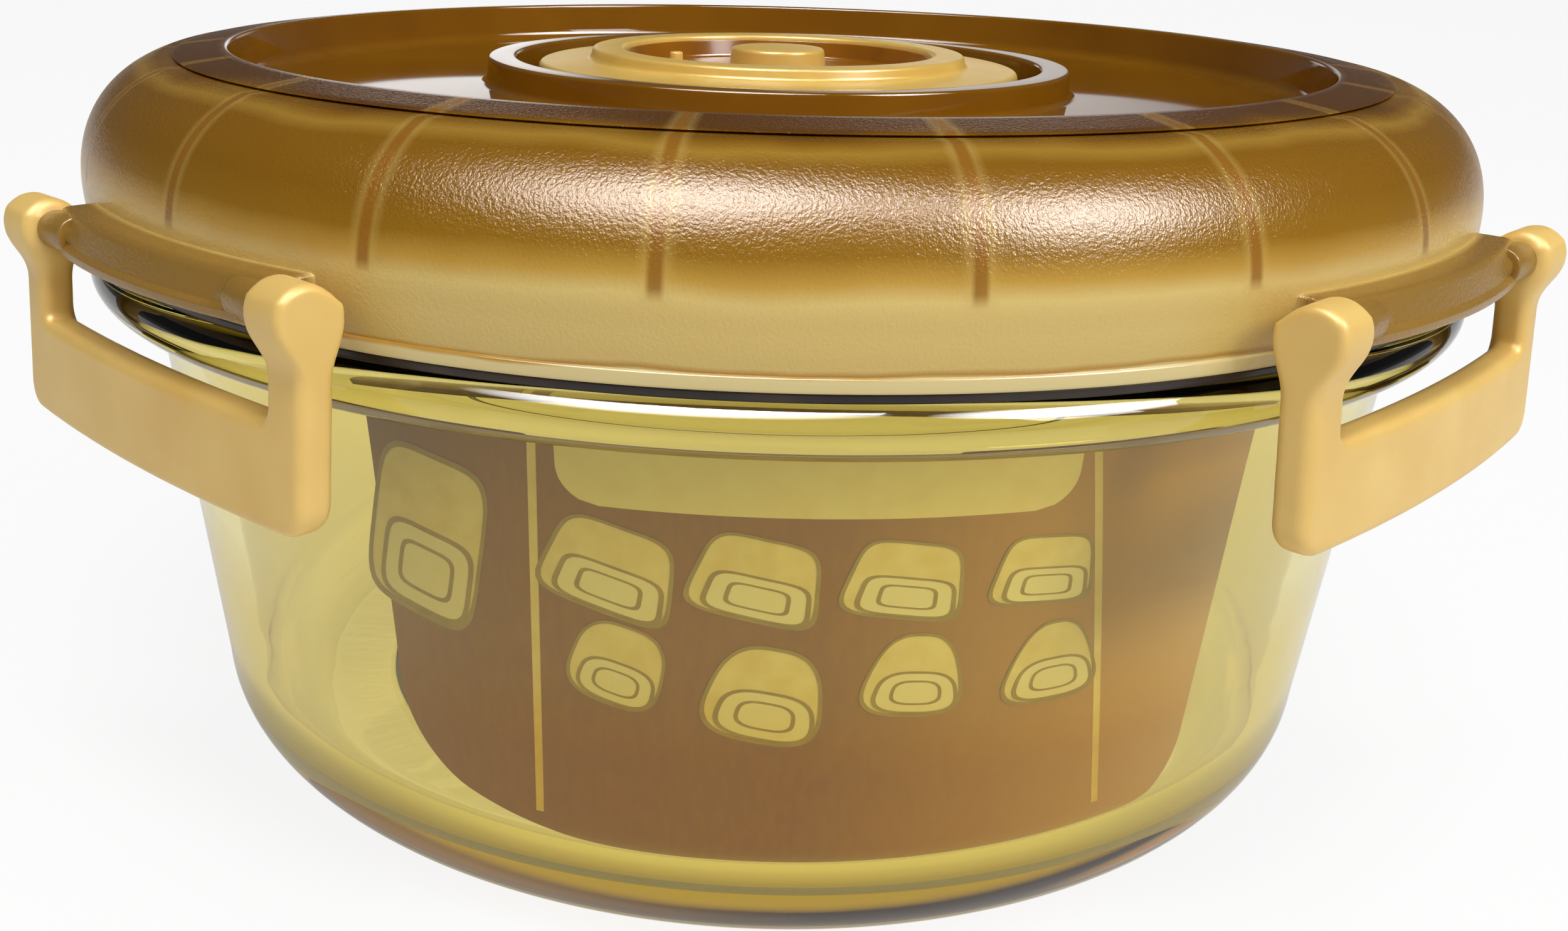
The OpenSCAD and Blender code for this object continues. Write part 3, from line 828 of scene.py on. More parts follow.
@dataclass
class CardInsert:
    """The printed card that lies curled against the inside of the glass."""

    bowl: GlassBowl
    middle: float = -45.0
    left: float = -33.5                # edges, from the middle, degrees
    right: float = 37.5
    gap: float = 0.4
    thickness: float = 0.5
    corner: float = 8.0
    lowest: float = 2.5                # turn of the lowest point of the foot edge
    sag_reach: float = 37.0            # this far from it, in degrees,
    rise_left: float = 10.5            # that edge is higher by this to the left,
    rise_right: float = 4.5            # and by this to the right
    label_z: float = 52.0              # lower edge, side edges and corner radius of the label
    label_turns: tuple[float, float] = (-17.6, 20.7)
    label_corner: float = 4.0
    fold_z: float = 15.5               # lower end of the fold lines
    fold_mid_z: float = 55.0
    # turn of a fold line at fold_mid_z, its lean in degrees per mm, and its half width
    fold_lines: tuple[tuple[float, float, float], ...] = ((-19.4, -0.032, 0.34), (22.3, 0.15, 0.34))
    ink: float = 0.03                  # thickness of a coat of ink, drawn thick enough to lie clear
    low_z: float = field(default_factory=lambda: low("card_insert").z)
    high_z: float = field(default_factory=lambda: high("card_insert").z)

    def on_face(self, turn: np.ndarray, z: np.ndarray, depth: np.ndarray | float) -> np.ndarray:
        """Points set in by depth from the card's outer face.

        Above the heel the radius is the inner wall's less the depth; below, it follows the arc of
        the heel: centre + sqrt((radius - depth)^2 - (drop below the centre)^2).
        """
        bowl = self.bowl
        inner = bowl.heel_r - bowl.wall / 2
        foot_z = bowl.floor + inner
        inset = self.gap + depth
        wall = bowl.inner_r(z) - inset
        drop = np.maximum(foot_z - z, 0)
        heel = bowl.inner_r(foot_z) - inner + np.sqrt(np.maximum((inner - inset) ** 2 - drop ** 2, 0))
        r = np.where(z > foot_z, wall, heel)
        a = np.radians(self.middle + turn)
        return np.stack([r * np.cos(a), r * np.sin(a), z + 0 * r], -1)

    def bottom(self, turn: np.ndarray) -> np.ndarray:
        """Height of the card's lower edge: a sagging curve, with a quarter circle at each corner.

        The sag is the rise times the square of the share of the way to the side; at a distance d
        under the corner's radius R from the side, R - sqrt(R^2 - (R - d)^2) is added.
        """
        rise = np.where(turn < self.lowest, self.rise_left, self.rise_right)
        sag = rise * (np.abs(turn - self.lowest) / self.sag_reach) ** 2
        aside = np.radians(np.minimum(self.right - turn, turn - self.left)) * self.bowl.inner_r(20)
        over = np.clip(self.corner - aside, 0, self.corner)
        return self.low_z + sag + self.corner - np.sqrt(np.maximum(self.corner ** 2 - over ** 2, 0))

    def sheet(self, left: Edge, right: Edge, bottom: Edge, top: Edge, outer: float, inner: float,
              columns: int, rows: int) -> tuple[np.ndarray, list]:
        """Closed curved sheet between two side edges and two level edges.

        Args:
            left: left edge's turn, a number or a function of height.
            right: right edge's turn, the same.
            bottom: lower edge's height, a number or a function of turn.
            top: upper edge's height, the same.
            outer: depth of the outer skin.
            inner: depth of the inner skin.
            columns: points along the width.
            rows: points along the height.

        Returns:
            Points and faces.
        """
        def at(edge: Edge, place: np.ndarray) -> np.ndarray | float:
            """Where an edge runs, at places along it."""
            return edge(place) if callable(edge) else edge

        ease = 0.5 - 0.5 * np.cos(np.pi * np.linspace(0, 1, columns))
        across, share = np.meshgrid(ease, np.linspace(0, 1, rows))
        level = self.low_z + (self.high_z - self.low_z) * share
        for _ in range(3):
            turn = at(left, level) + (at(right, level) - at(left, level)) * across
            level = at(bottom, turn) + (at(top, turn) - at(bottom, turn)) * share
        skins = [self.on_face(turn, level, depth).reshape(-1, 3) for depth in (outer, inner)]
        count = rows * columns
        faces = grid_faces(rows, columns)[:, ::-1].tolist()
        faces += grid_faces(rows, columns, first=count).tolist()
        rim = np.concatenate([np.arange(columns), np.arange(1, rows) * columns + columns - 1,
                              (rows - 1) * columns + np.arange(columns - 2, -1, -1),
                              np.arange(rows - 2, 0, -1) * columns])
        after = np.roll(rim, -1)
        faces += np.stack([rim, after, after + count, rim + count], 1).tolist()
        return np.vstack(skins), faces

    def patch(self, tub: Tub, shift: tuple[float, float], scale: tuple[float, float], layer: int,
              hollow: float = 0.0) -> tuple[np.ndarray, list]:
        """A filled shape, or a ring, of ink.

        The rim is a superellipse: (|x / a|^n + |y / b|^n) = 1, narrowed towards the top by the
        tub's taper and turned by its tilt. It is carried on to the card's face.

        Args:
            tub: the drawing that it belongs to.
            shift: place of its middle from the drawing's middle, in shares of the half sizes.
            scale: its half sizes, in shares of the tub's.
            layer: which coat it is, counted from the card.
            hollow: inner size of a ring, as a share; nought for a filled shape.

        Returns:
            Points and faces.
        """
        front, back = -self.ink * layer, -self.ink * (layer - 0.9)
        shares = np.linspace(hollow, 1, 3 if hollow else 6)
        outline = np.vstack([np.stack([shares, 0 * shares + front], 1),
                             np.stack([shares[::-1], 0 * shares + back], 1)])
        points, faces = turned(outline, 56)
        x, y, depth = points.T
        size = np.hypot(x, y)
        angle = np.arctan2(y, x)
        n = tub.squareness
        rim = (np.abs(np.cos(angle)) ** n + np.abs(np.sin(angle)) ** n) ** (-1 / n)
        u, v = size * rim * np.cos(angle) * scale[0], size * rim * np.sin(angle) * scale[1]
        u, v = u + shift[0], v + shift[1]
        u, v = u * (1 - tub.taper * v) * tub.half_w, v * tub.half_h
        c, s = math.cos(math.radians(tub.tilt)), math.sin(math.radians(tub.tilt))
        u, v = c * u + s * v, c * v - s * u
        arc_mm = math.radians(self.bowl.inner_r(tub.height))
        return self.on_face(tub.turn + u / arc_mm, tub.height + v, depth), faces

    def tubs(self) -> list[Tub]:
        """Two rows of four tubs, and one large tub beside the left fold."""
        upper = [Tub(-13.8 + 11 * n, 45.4, half_w=6.2 - 0.35 * n, half_h=4.8 - 0.35 * n,
                     tilt=16 - 4 * n, squareness=5) for n in range(4)]
        # the second tub of the lower row is larger than the others
        lower = [Tub(-13.4 + 11.5 * n, 34.8 - 2.2 * large, half_w=4.6 + 0.9 * large,
                     half_h=4.7 + 0.8 * large, tilt=16 - 6 * n, taper=0.1 + 0.1 * n, squareness=3)
                 for n, large in enumerate((False, True, False, False))]
        tall = Tub(-29.1, 45.6, half_w=6.4, half_h=9.4, tilt=14, taper=0.05, squareness=5)
        return upper + lower + [tall]

    def build(self) -> None:
        """Builds the card and what is printed on it."""
        card = make_object("curled_card", *self.sheet(
            self.left, self.right, self.bottom, self.high_z, 0.0, self.thickness, 160, 40), 50)
        fit_out(card, KraftCard(self.middle).build(), Body.BOWL.value, "card", "card_insert")

        tubs = self.tubs()
        lid_shift, lid_scale = (0.08, -0.42), (0.8, 0.5)
        ochre = [self.patch(t, (0, 0), (1, 1), 1) for t in tubs]
        cream = [self.patch(t, lid_shift, lid_scale, 2) for t in tubs]
        rings = (((0, 0), (1.02, 1.02), 0.93), (lid_shift, (0.82, 0.52), 0.9),
                 (lid_shift, (0.5, 0.3), 0.86))
        lines = [self.patch(t, shift, scale, 3, hollow) for shift, scale, hollow in rings for t in tubs]
        folds = []
        for turn, lean, half_w in self.fold_lines:
            folds.append(self.sheet(lambda z: turn + lean * (self.fold_mid_z - z) - half_w,
                                    lambda z: turn + lean * (self.fold_mid_z - z) + half_w,
                                    self.fold_z, self.high_z, -2 * self.ink, -0.1 * self.ink, 3, 30))

        def drawn_in(z: np.ndarray) -> np.ndarray:
            """Degrees that a side draws in near its lower corners; 3.2 are about 4 mm."""
            inside = np.clip((self.label_z + self.label_corner - z) / self.label_corner, 0, 1)
            return 3.2 * (1 - np.sqrt(1 - inside ** 2))

        left, right = self.label_turns
        label = [self.sheet(lambda z: left + drawn_in(z), lambda z: right - drawn_in(z), self.label_z,
                            self.high_z, -self.ink, -0.1 * self.ink, 60, 16)]
        inks = (("label_panel", label, PrintedInk("straw_ink", "FFFAD8", "FCF2CC")),
                ("tub_bodies", ochre, PrintedInk("ochre_ink", "FFF6CC", "F6E6A8")),
                ("tub_lids", cream, PrintedInk("cream_ink", "FFFFF0", "FFFAE0")),
                ("tub_lines", lines, PrintedInk("line_ink", "B9A650", "A8943E")),
                ("fold_lines", folds, PrintedInk("fold_ink", "FFF2C0", "F6E4A6")))
        for name, parts, ink in inks:
            fit_out(make_object(name, *joined(parts), 50), ink.build(), Body.BOWL.value, "card")


# ---------------------------------------------------------------- lid


@dataclass
class LidShell:
    """The lid moulding: crest, shoulder, deck, hub, plug skirt, ribs and hinge bars."""

    crest_z: float = field(default_factory=lambda: high("lid_shell").z)
    bowl_h: float = field(default_factory=lambda: high("glass_bowl").z)
    bowl_r: float = field(default_factory=lambda: high("glass_bowl").x)
    wall: float = 2.0
    crest_r: float = 68.5
    recess: float = 5.0
    lip_r: float = 84.5
    lip_h: float = 1.45
    seal_t: float = 0.9
    well_r: float = 33.0
    hub_r: float = 37.0
    hole_r: float = 5.0
    plug_h: float = 4.0
    plug_r: float = 73.4
    tongue_r: float = 77.8
    tongue_w: float = 3.1
    tongue_h: float = 2.05
    rib_t: float = 1.0
    ribs: int = 20
    pin_r: float = 1.3
    bar_half: float = 21.1
    bar_top: float = 2.3
    bar_drop: float = 2.0
    pin_end: float = 25.7
    boss_t: float = 0.7                # how much thicker a pin is in its boss
    boss_w: float = 5.0

    def __post_init__(self) -> None:
        """Works out the heights and the shoulder curve from the driving sizes."""
        hinge = next(j for j in frame["joints"] if j["name"] == "latch_right_swing")
        self.hinge_r, self.hinge_z = hinge["pos_m"][0] / MM, hinge["pos_m"][2] / MM
        self.lip_z = self.bowl_h + self.seal_t
        self.skirt_z = self.lip_z + self.lip_h
        self.skirt_r = self.lip_r - 0.3
        self.deck_z = self.crest_z - self.recess
        self.hub_z = self.crest_z - 1.75
        self.well_z = self.deck_z - 1.8
        self.band = np.array([self.crest_r + 6.95, self.crest_z - 1.0])
        self.dome = np.array([self.band, self.band + [6.15, -1.95],
                              [self.skirt_r + 2.3, self.skirt_z + 10.2], [self.skirt_r, self.skirt_z]])

    def shoulder(self, depth: float, end: float = 1.0, steps: int = 30) -> np.ndarray:
        """Shoulder curve set in by depth along its normal, from the band down to `end`."""
        t = np.linspace(0, end, steps + 1)
        return cubic(self.dome, t) - depth * cubic_normal(self.dome, t)

    def outline(self) -> np.ndarray:
        """Outline of the moulding, clockwise from the vent hole over the top and back beneath."""
        deck_under, well_under = self.deck_z - self.wall, self.well_z - self.wall
        groove_z = self.lip_z + self.tongue_h
        groove_out, groove_in = self.tongue_r + self.tongue_w / 2, self.tongue_r - self.tongue_w / 2
        plug_z, plug_in = self.bowl_h - self.plug_h, self.plug_r - 1.6
        top = rounded([
            (self.hole_r, self.well_z, 0.3), (self.well_r, self.well_z, 0.8),
            (self.well_r + 0.3, self.hub_z, 0.5), (self.hub_r - 0.2, self.hub_z, 0.5),
            (self.hub_r + 0.1, self.deck_z, 0.9), (self.crest_r - 1.6, self.deck_z, 1.6),
            (self.crest_r - 0.9, self.crest_z, 0.5), (self.crest_r + 0.4, self.crest_z, 0.5),
            (self.band[0] - 0.5, self.band[1] + 0.25, 0.25)], 6)
        under = rounded([
            (self.crest_r + 1.6, self.crest_z - 2.3, 0.6), (self.crest_r + 0.5, self.crest_z - 3.3, 0.6),
            (self.crest_r + 0.2, deck_under, 1.0), (self.hub_r - 1.4, deck_under, 0.6),
            (self.well_r + 1.8, well_under, 0.6), (self.hole_r, well_under, 0.3)], 5)
        lip = rounded([
            (self.lip_r, self.skirt_z - 0.1, 0.25), (self.lip_r, self.lip_z, 0.3),
            (groove_out, self.lip_z, 0.1), (groove_out, groove_z, 0.2),
            (groove_in, groove_z, 0.2), (groove_in, self.lip_z, 0.1), (self.plug_r, self.lip_z, 0.2),
            (self.plug_r, plug_z, 0.5), (plug_in, plug_z, 0.5), (plug_in, groove_z + 1.7, 0.4)], 4)
        return np.vstack([top, self.shoulder(0.0), lip, self.shoulder(self.wall, 0.93)[::-1], under])

    def rib(self, turn: float) -> tuple[np.ndarray, list]:
        """One radial rib: its outline in the (r, z) plane given a thickness across the radius."""
        outline = np.vstack([
            [[self.crest_r + 1.7, self.crest_z - 1.7]], self.shoulder(self.wall / 2, 0.78, 14),
            [[self.skirt_r - 2.8, self.skirt_z + 5.9], [self.skirt_r - 5.5, self.skirt_z + 8.4],
             [self.crest_r + 1.7, self.crest_z - 5.4]]])
        count = len(outline)
        sides = [np.stack([outline[:, 0], np.full(count, y), outline[:, 1]], 1)
                 for y in (-self.rib_t / 2, self.rib_t / 2)]
        step = np.arange(count)
        after = (step + 1) % count
        faces = np.stack([step, after, after + count, step + count], 1)[:, ::-1].tolist()
        faces += [step.tolist(), (count + step[::-1]).tolist()]
        return turn_z(np.vstack(sides), turn), faces

    def bar(self, turn: float) -> tuple[np.ndarray, list]:
        """One hinge bar: its section carried along the width of the latch, concentric with the lid.

        The point at section radius r and width t is (sqrt(r^2 - t^2), t, z).
        """
        out = self.hinge_r + 3.15
        low_z, top_z = self.hinge_z - self.bar_drop, self.hinge_z + self.bar_top
        section = rounded([
            (self.skirt_r - 1.2, low_z, 0), (out, low_z, 0.6), (out, self.hinge_z - 1.0, 0.35),
            (out - 0.55, self.hinge_z - 0.6, 0.3), (out - 1.4, top_z, 1.0),
            (self.skirt_r - 1.2, top_z, 0)], 5)
        # near each end the section shrinks towards its middle, which rounds the end
        inset, shrink = np.array([0.0, 0.12, 0.35, 0.6]), np.array([0.6, 0.28, 0.08, 0.0])
        straight = np.linspace(-self.bar_half + 1.5, self.bar_half - 1.5, 40)
        t = np.concatenate([-self.bar_half + inset, straight, (self.bar_half - inset)[::-1]])
        pull = np.interp(self.bar_half - np.abs(t), inset, shrink)
        toward = section.mean(0) - section
        toward /= np.maximum(np.linalg.norm(toward, axis=1, keepdims=True), 1e-6)
        shape = section[None] + pull[:, None, None] * toward[None]
        width = t[:, None] + 0 * shape[..., 0]
        points = np.stack([np.sqrt(shape[..., 0] ** 2 - width ** 2), width, shape[..., 1]], -1)
        rows, columns = points.shape[:2]
        faces = grid_faces(rows, columns, wrap_columns=True).tolist()
        faces += [np.arange(columns).tolist(), ((rows - 1) * columns + np.arange(columns)[::-1]).tolist()]
        return turn_z(points.reshape(-1, 3), turn), faces

    def pin(self, turn: float) -> tuple[np.ndarray, list]:
        """The pair of hinge pins of one bar with their bosses, as one turned rod through the bar."""
        end, out = self.pin_end, self.bar_half - 0.05
        root = out - self.boss_w
        pin, boss = self.pin_r, self.pin_r + self.boss_t
        half = [(boss, root, 0.2), (boss, out, 0.2), (pin, out, 0), (pin, end, 0.3), (0, end, 0)]
        mirrored = [(r, -y, radius) for r, y, radius in reversed(half)]
        outline = rounded(mirrored + [(pin, -root, 0), (pin, root, 0)] + half, 3)
        points, faces = turned(outline, 32)
        swung = np.stack([points[:, 0] + self.hinge_r, -points[:, 2], points[:, 1] + self.hinge_z], 1)
        return turn_z(swung, turn), faces

    def build(self) -> None:
        """Builds the lid as one skin: shell, ribs, bars and pins joined."""
        shell = make_object("honey_lid", *turned(self.outline()[::-1]), sharp_angle=50)
        parts = [make_object(f"rib_{n}", *self.rib(n * 360 / self.ribs)) for n in range(self.ribs)]
        for n in range(4):
            parts.append(make_object(f"bar_{n}", *self.bar(90 * n)))
            parts.append(make_object(f"pin_{n}", *self.pin(90 * n)))
        union(shell, parts, 38)
        plastic = SparkedPlastic(lip_z=self.lip_z, crest_z=self.crest_z, crest_r=self.crest_r,
                                 lip_h=self.lip_h, bar_r=self.lip_r + 0.2, ribs=self.ribs)
        fit_out(shell, plastic.build(), Body.LID.value, "lid", "lid_shell", "lid_deck", "lid_hub")


@dataclass
class LidSeal:
    """The silicone ring between lid and rim: a flat with a tongue held in the lid's groove."""

    lid: LidShell
    inner_r: float = 75.8
    tongue_w: float = 3.0
    tongue_h: float = 2.0

    def build(self) -> None:
        """Builds the seal as a turned ring."""
        half, lip_z, base_z = self.tongue_w / 2, self.lid.lip_z, self.lid.bowl_h
        middle, out = self.lid.tongue_r, self.lid.lip_r - 0.2
        ring = rounded([
            (self.inner_r, base_z, 0.2), (out, base_z, 0.35), (out, lip_z, 0.15),
            (middle + half, lip_z, 0.1), (middle + half, lip_z + self.tongue_h, 0.3),
            (middle - half, lip_z + self.tongue_h, 0.3), (middle - half, lip_z, 0.1),
            (self.inner_r, lip_z, 0.2)], 4)
        seal = make_object("lid_gasket", *turned(ring), sharp_angle=50)
        fit_out(seal, Silicone().build(), Body.LID.value, "seal", "lid_seal")


@dataclass
class Vent:
    """The pull-up vent: cap with grip ring, finger recess and knob, its washer and its retainer."""

    lid: LidShell
    grip_r: float = 23.6
    finger_r: float = 19.6
    knob_r: float = 5.9
    stem_r: float = 4.0
    washer_t: float = 1.0
    peg_turn: float = -154.7
    peg_r: float = 0.85

    @property
    def finger_z(self) -> float:
        """Height of the floor of the finger recess."""
        return self.lid.crest_z - 3.7

    def cap_outline(self) -> np.ndarray:
        """Outline of the cap from the end of the stem, round the disc and over the knob."""
        lid = self.lid
        cap_r = high("vent_cap").x
        under_z = lid.well_z + self.washer_t
        top_z = lid.crest_z - 2.4
        grip_z = lid.crest_z - 0.65
        knob_z = lid.crest_z - 0.4
        return rounded([
            (0, low("vent_cap").z, 0), (self.stem_r, low("vent_cap").z, 0.5), (self.stem_r, under_z, 0),
            (cap_r, under_z, 0.9), (cap_r, top_z, 0.8), (self.grip_r + 0.4, top_z + 0.35, 0.7),
            (self.grip_r, grip_z, 0.6), (self.finger_r + 0.2, grip_z, 0.6),
            (self.finger_r - 0.4, self.finger_z, 0.7), (self.knob_r + 0.4, self.finger_z, 0.6),
            (self.knob_r, knob_z, 0.7), (0, knob_z, 0)], 7)

    def recess_shade(self) -> None:
        """Builds the painted shade of the finger recess: a thin dark amber cup round the knob, laid over
        the cream where the recess is in shade.
        """
        under_z, floor_z, top_z = self.finger_z + 0.02, self.finger_z + 0.25, self.lid.crest_z - 1.3
        inner_r = self.knob_r + 0.45
        cup = rounded([
            (inner_r, under_z, 0.05), (self.finger_r - 0.5, under_z, 0.5),
            (self.finger_r - 0.02, top_z, 0.05), (self.finger_r - 0.3, top_z, 0.1),
            (self.finger_r - 0.8, floor_z, 0.5), (inner_r, floor_z, 0.05)], 4)
        # painted shade: a thin dark amber sheet over the cream walls and floor of the recess, where it is
        # in shade
        recess_shade = make_object("recess_painted_shade", *turned(cup, VENT_SEGMENTS), 45)
        amber = CreamPlastic("amber_painted_shade", "9A6410", "7E4E0A", roughness=0.18)
        fit_out(recess_shade, amber.build(), Body.VENT.value, "lid")

    def build(self) -> None:
        """Builds the cap with its peg, and dresses the washer and the retainer."""
        cap = make_object("vent_disc", *turned(self.cap_outline(), VENT_SEGMENTS), sharp_angle=45)
        root_z, end_z = self.finger_z - 0.4, self.finger_z + 2.0
        outline = rounded([(0, root_z, 0), (self.peg_r, root_z, 0), (self.peg_r, end_z, 0.3),
                           (0, end_z, 0)], 3)
        points, faces = turned(outline, 24)
        peg = make_object("peg", turn_z(points + [self.finger_r - 5.7, 0, 0], self.peg_turn), faces)
        union(cap, [peg], 40)
        cream = CreamPlastic("cream_vent_polypropylene", "D8B560", "CCA852", roughness=0.3)
        fit_out(cap, cream.build(), Body.VENT.value, "vent", "vent_cap")
        self.recess_shade()
        dress("vent_seal", Silicone("milky_silicone", "D9D5C8", "E6E2D8").build())
        dress("vent_retainer", CreamPlastic("cream_clip_polypropylene", "E2D3A4", "D9C893").build())


def dress(node: str, material: Material) -> None:
    """Gives a CAD node a finished material in place of its plain one."""
    thing = frame["nodes"][node]
    for slot in thing.material_slots:
        slot.material = material
    LOG.info("%s: CAD shape, %s", node, material.name)


# ---------------------------------------------------------------- latches


@dataclass
class Latch:
    """One swinging latch: a curved plate with a window, two knuckles and a catch ridge.

    It is a solid of distance functions: the plate is the overlap of a curved sheet and a rounded
    outline with all its edges rounded, and the knuckles and the ridge run into it with soft
    fillets, as in a moulding.
    """

    lid: LidShell
    bead_h: float
    half_w: float = field(default_factory=lambda: high("latch_right").y)
    out_r: float = field(default_factory=lambda: high("latch_right").x)
    foot_z: float = field(default_factory=lambda: low("latch_right").z)
    thickness: float = 3.6
    bend: float = 228.0                # radius that the plate is bent to, seen from above
    lean: float = 5.0                  # outward lean of the plate as it hangs, degrees
    arm_w: float = 5.2
    plate_h: float = 10.2
    knuckle_r: float = 3.05
    knuckle_w: float = 5.8
    edge: float = 1.15
    corner: float = 3.0
    catch_gap: float = 0.3             # from the rim bead, seen from above
    catch_drop: float = 0.8            # from the underside of the rim bead
    catch_half: float = 16.0
    catch_half_h: float = 1.9
    catch_edge: float = 0.8
    window_corner: float = 1.2
    knuckle_edge: float = 0.9
    fillet: float = 3.0                # from the plate to the knuckles
    bore_gap: float = 0.08
    bore_end: float = 1.2              # closed end of a knuckle
    pitch: float = 0.36                # spacing of the points that the skin is drawn through

    def distance(self, x: np.ndarray, y: np.ndarray, z: np.ndarray) -> np.ndarray:
        """Signed distance to the latch that hangs at +X, negative inside."""
        lid, side = self.lid, np.abs(y)
        slope = math.tan(math.radians(self.lean))
        window_z = self.foot_z + self.plate_h
        # outline seen from outside: rounded box from the foot to the hinge axis, less the window
        half_h = (lid.hinge_z - self.foot_z) / 2 + self.corner
        upright = np.abs(z - (self.foot_z + half_h)) - half_h
        outer = overlap(side - self.half_w, upright, radius=self.corner)
        window = overlap(side - (self.half_w - self.arm_w), window_z - z, radius=self.window_corner)
        outline = np.maximum(outer, -window)
        # bent, leaning sheet; it meets the outline in edges rounded by `edge`
        face_r = self.out_r - (window_z - self.foot_z - self.edge) * slope
        reach = np.hypot(x - (face_r - self.bend), y)
        half_t = self.thickness / 2
        sheet = np.abs(reach - self.bend - (window_z - z) * slope + half_t) - half_t
        plate = np.maximum(overlap(outline, sheet, radius=self.edge), z - lid.hinge_z)
        # knuckle: a short rod along y with rounded ends
        across = np.hypot(x - lid.hinge_r, z - lid.hinge_z)
        along = np.abs(side - (self.half_w - self.knuckle_w / 2)) - self.knuckle_w / 2
        knuckle = overlap(across - self.knuckle_r, along, radius=self.knuckle_edge)
        # catch ridge: a rounded bar behind the plate that follows the rim bead
        ridge_z = lid.bowl_h - self.bead_h - self.catch_drop - self.catch_half_h
        ridge_out = face_r - 1.0
        ridge_in = lid.bowl_r + self.catch_gap
        radial = np.abs(np.hypot(x, y) - (ridge_out + ridge_in) / 2) - (ridge_out - ridge_in) / 2
        ridge = overlap(radial, np.abs(z - ridge_z) - self.catch_half_h, side - self.catch_half,
                        radius=self.catch_edge)
        body = smooth_min(smooth_min(plate, knuckle, self.fillet), ridge, self.catch_edge)
        # the ends stay flush, and the pins' bores stay open
        body = np.maximum(body, side - self.half_w)
        bore = np.maximum(across - lid.pin_r - self.bore_gap, side - (self.half_w - self.bore_end))
        return np.maximum(body, -bore)

    def build(self) -> None:
        """Builds the four latches as turned copies of one skin."""
        spare = 0.8
        lowest = (self.lid.hinge_r - self.knuckle_r - 4.5, -self.half_w - spare, self.foot_z - spare)
        highest = (self.out_r + 0.9, self.half_w + spare, self.lid.hinge_z + self.knuckle_r + spare)
        points, faces = skin_of(self.distance, lowest, highest, self.pitch)
        material = CreamPlastic().build()
        for side, turn in (("right", 0), ("back", 90), ("left", 180), ("front", 270)):
            latch = make_object(f"latch_clip_{side}", turn_z(points, turn), faces, sharp_angle=65)
            fit_out(latch, material, f"latch_{side}", "latch", f"latch_{side}")


# ---------------------------------------------------------------- studio


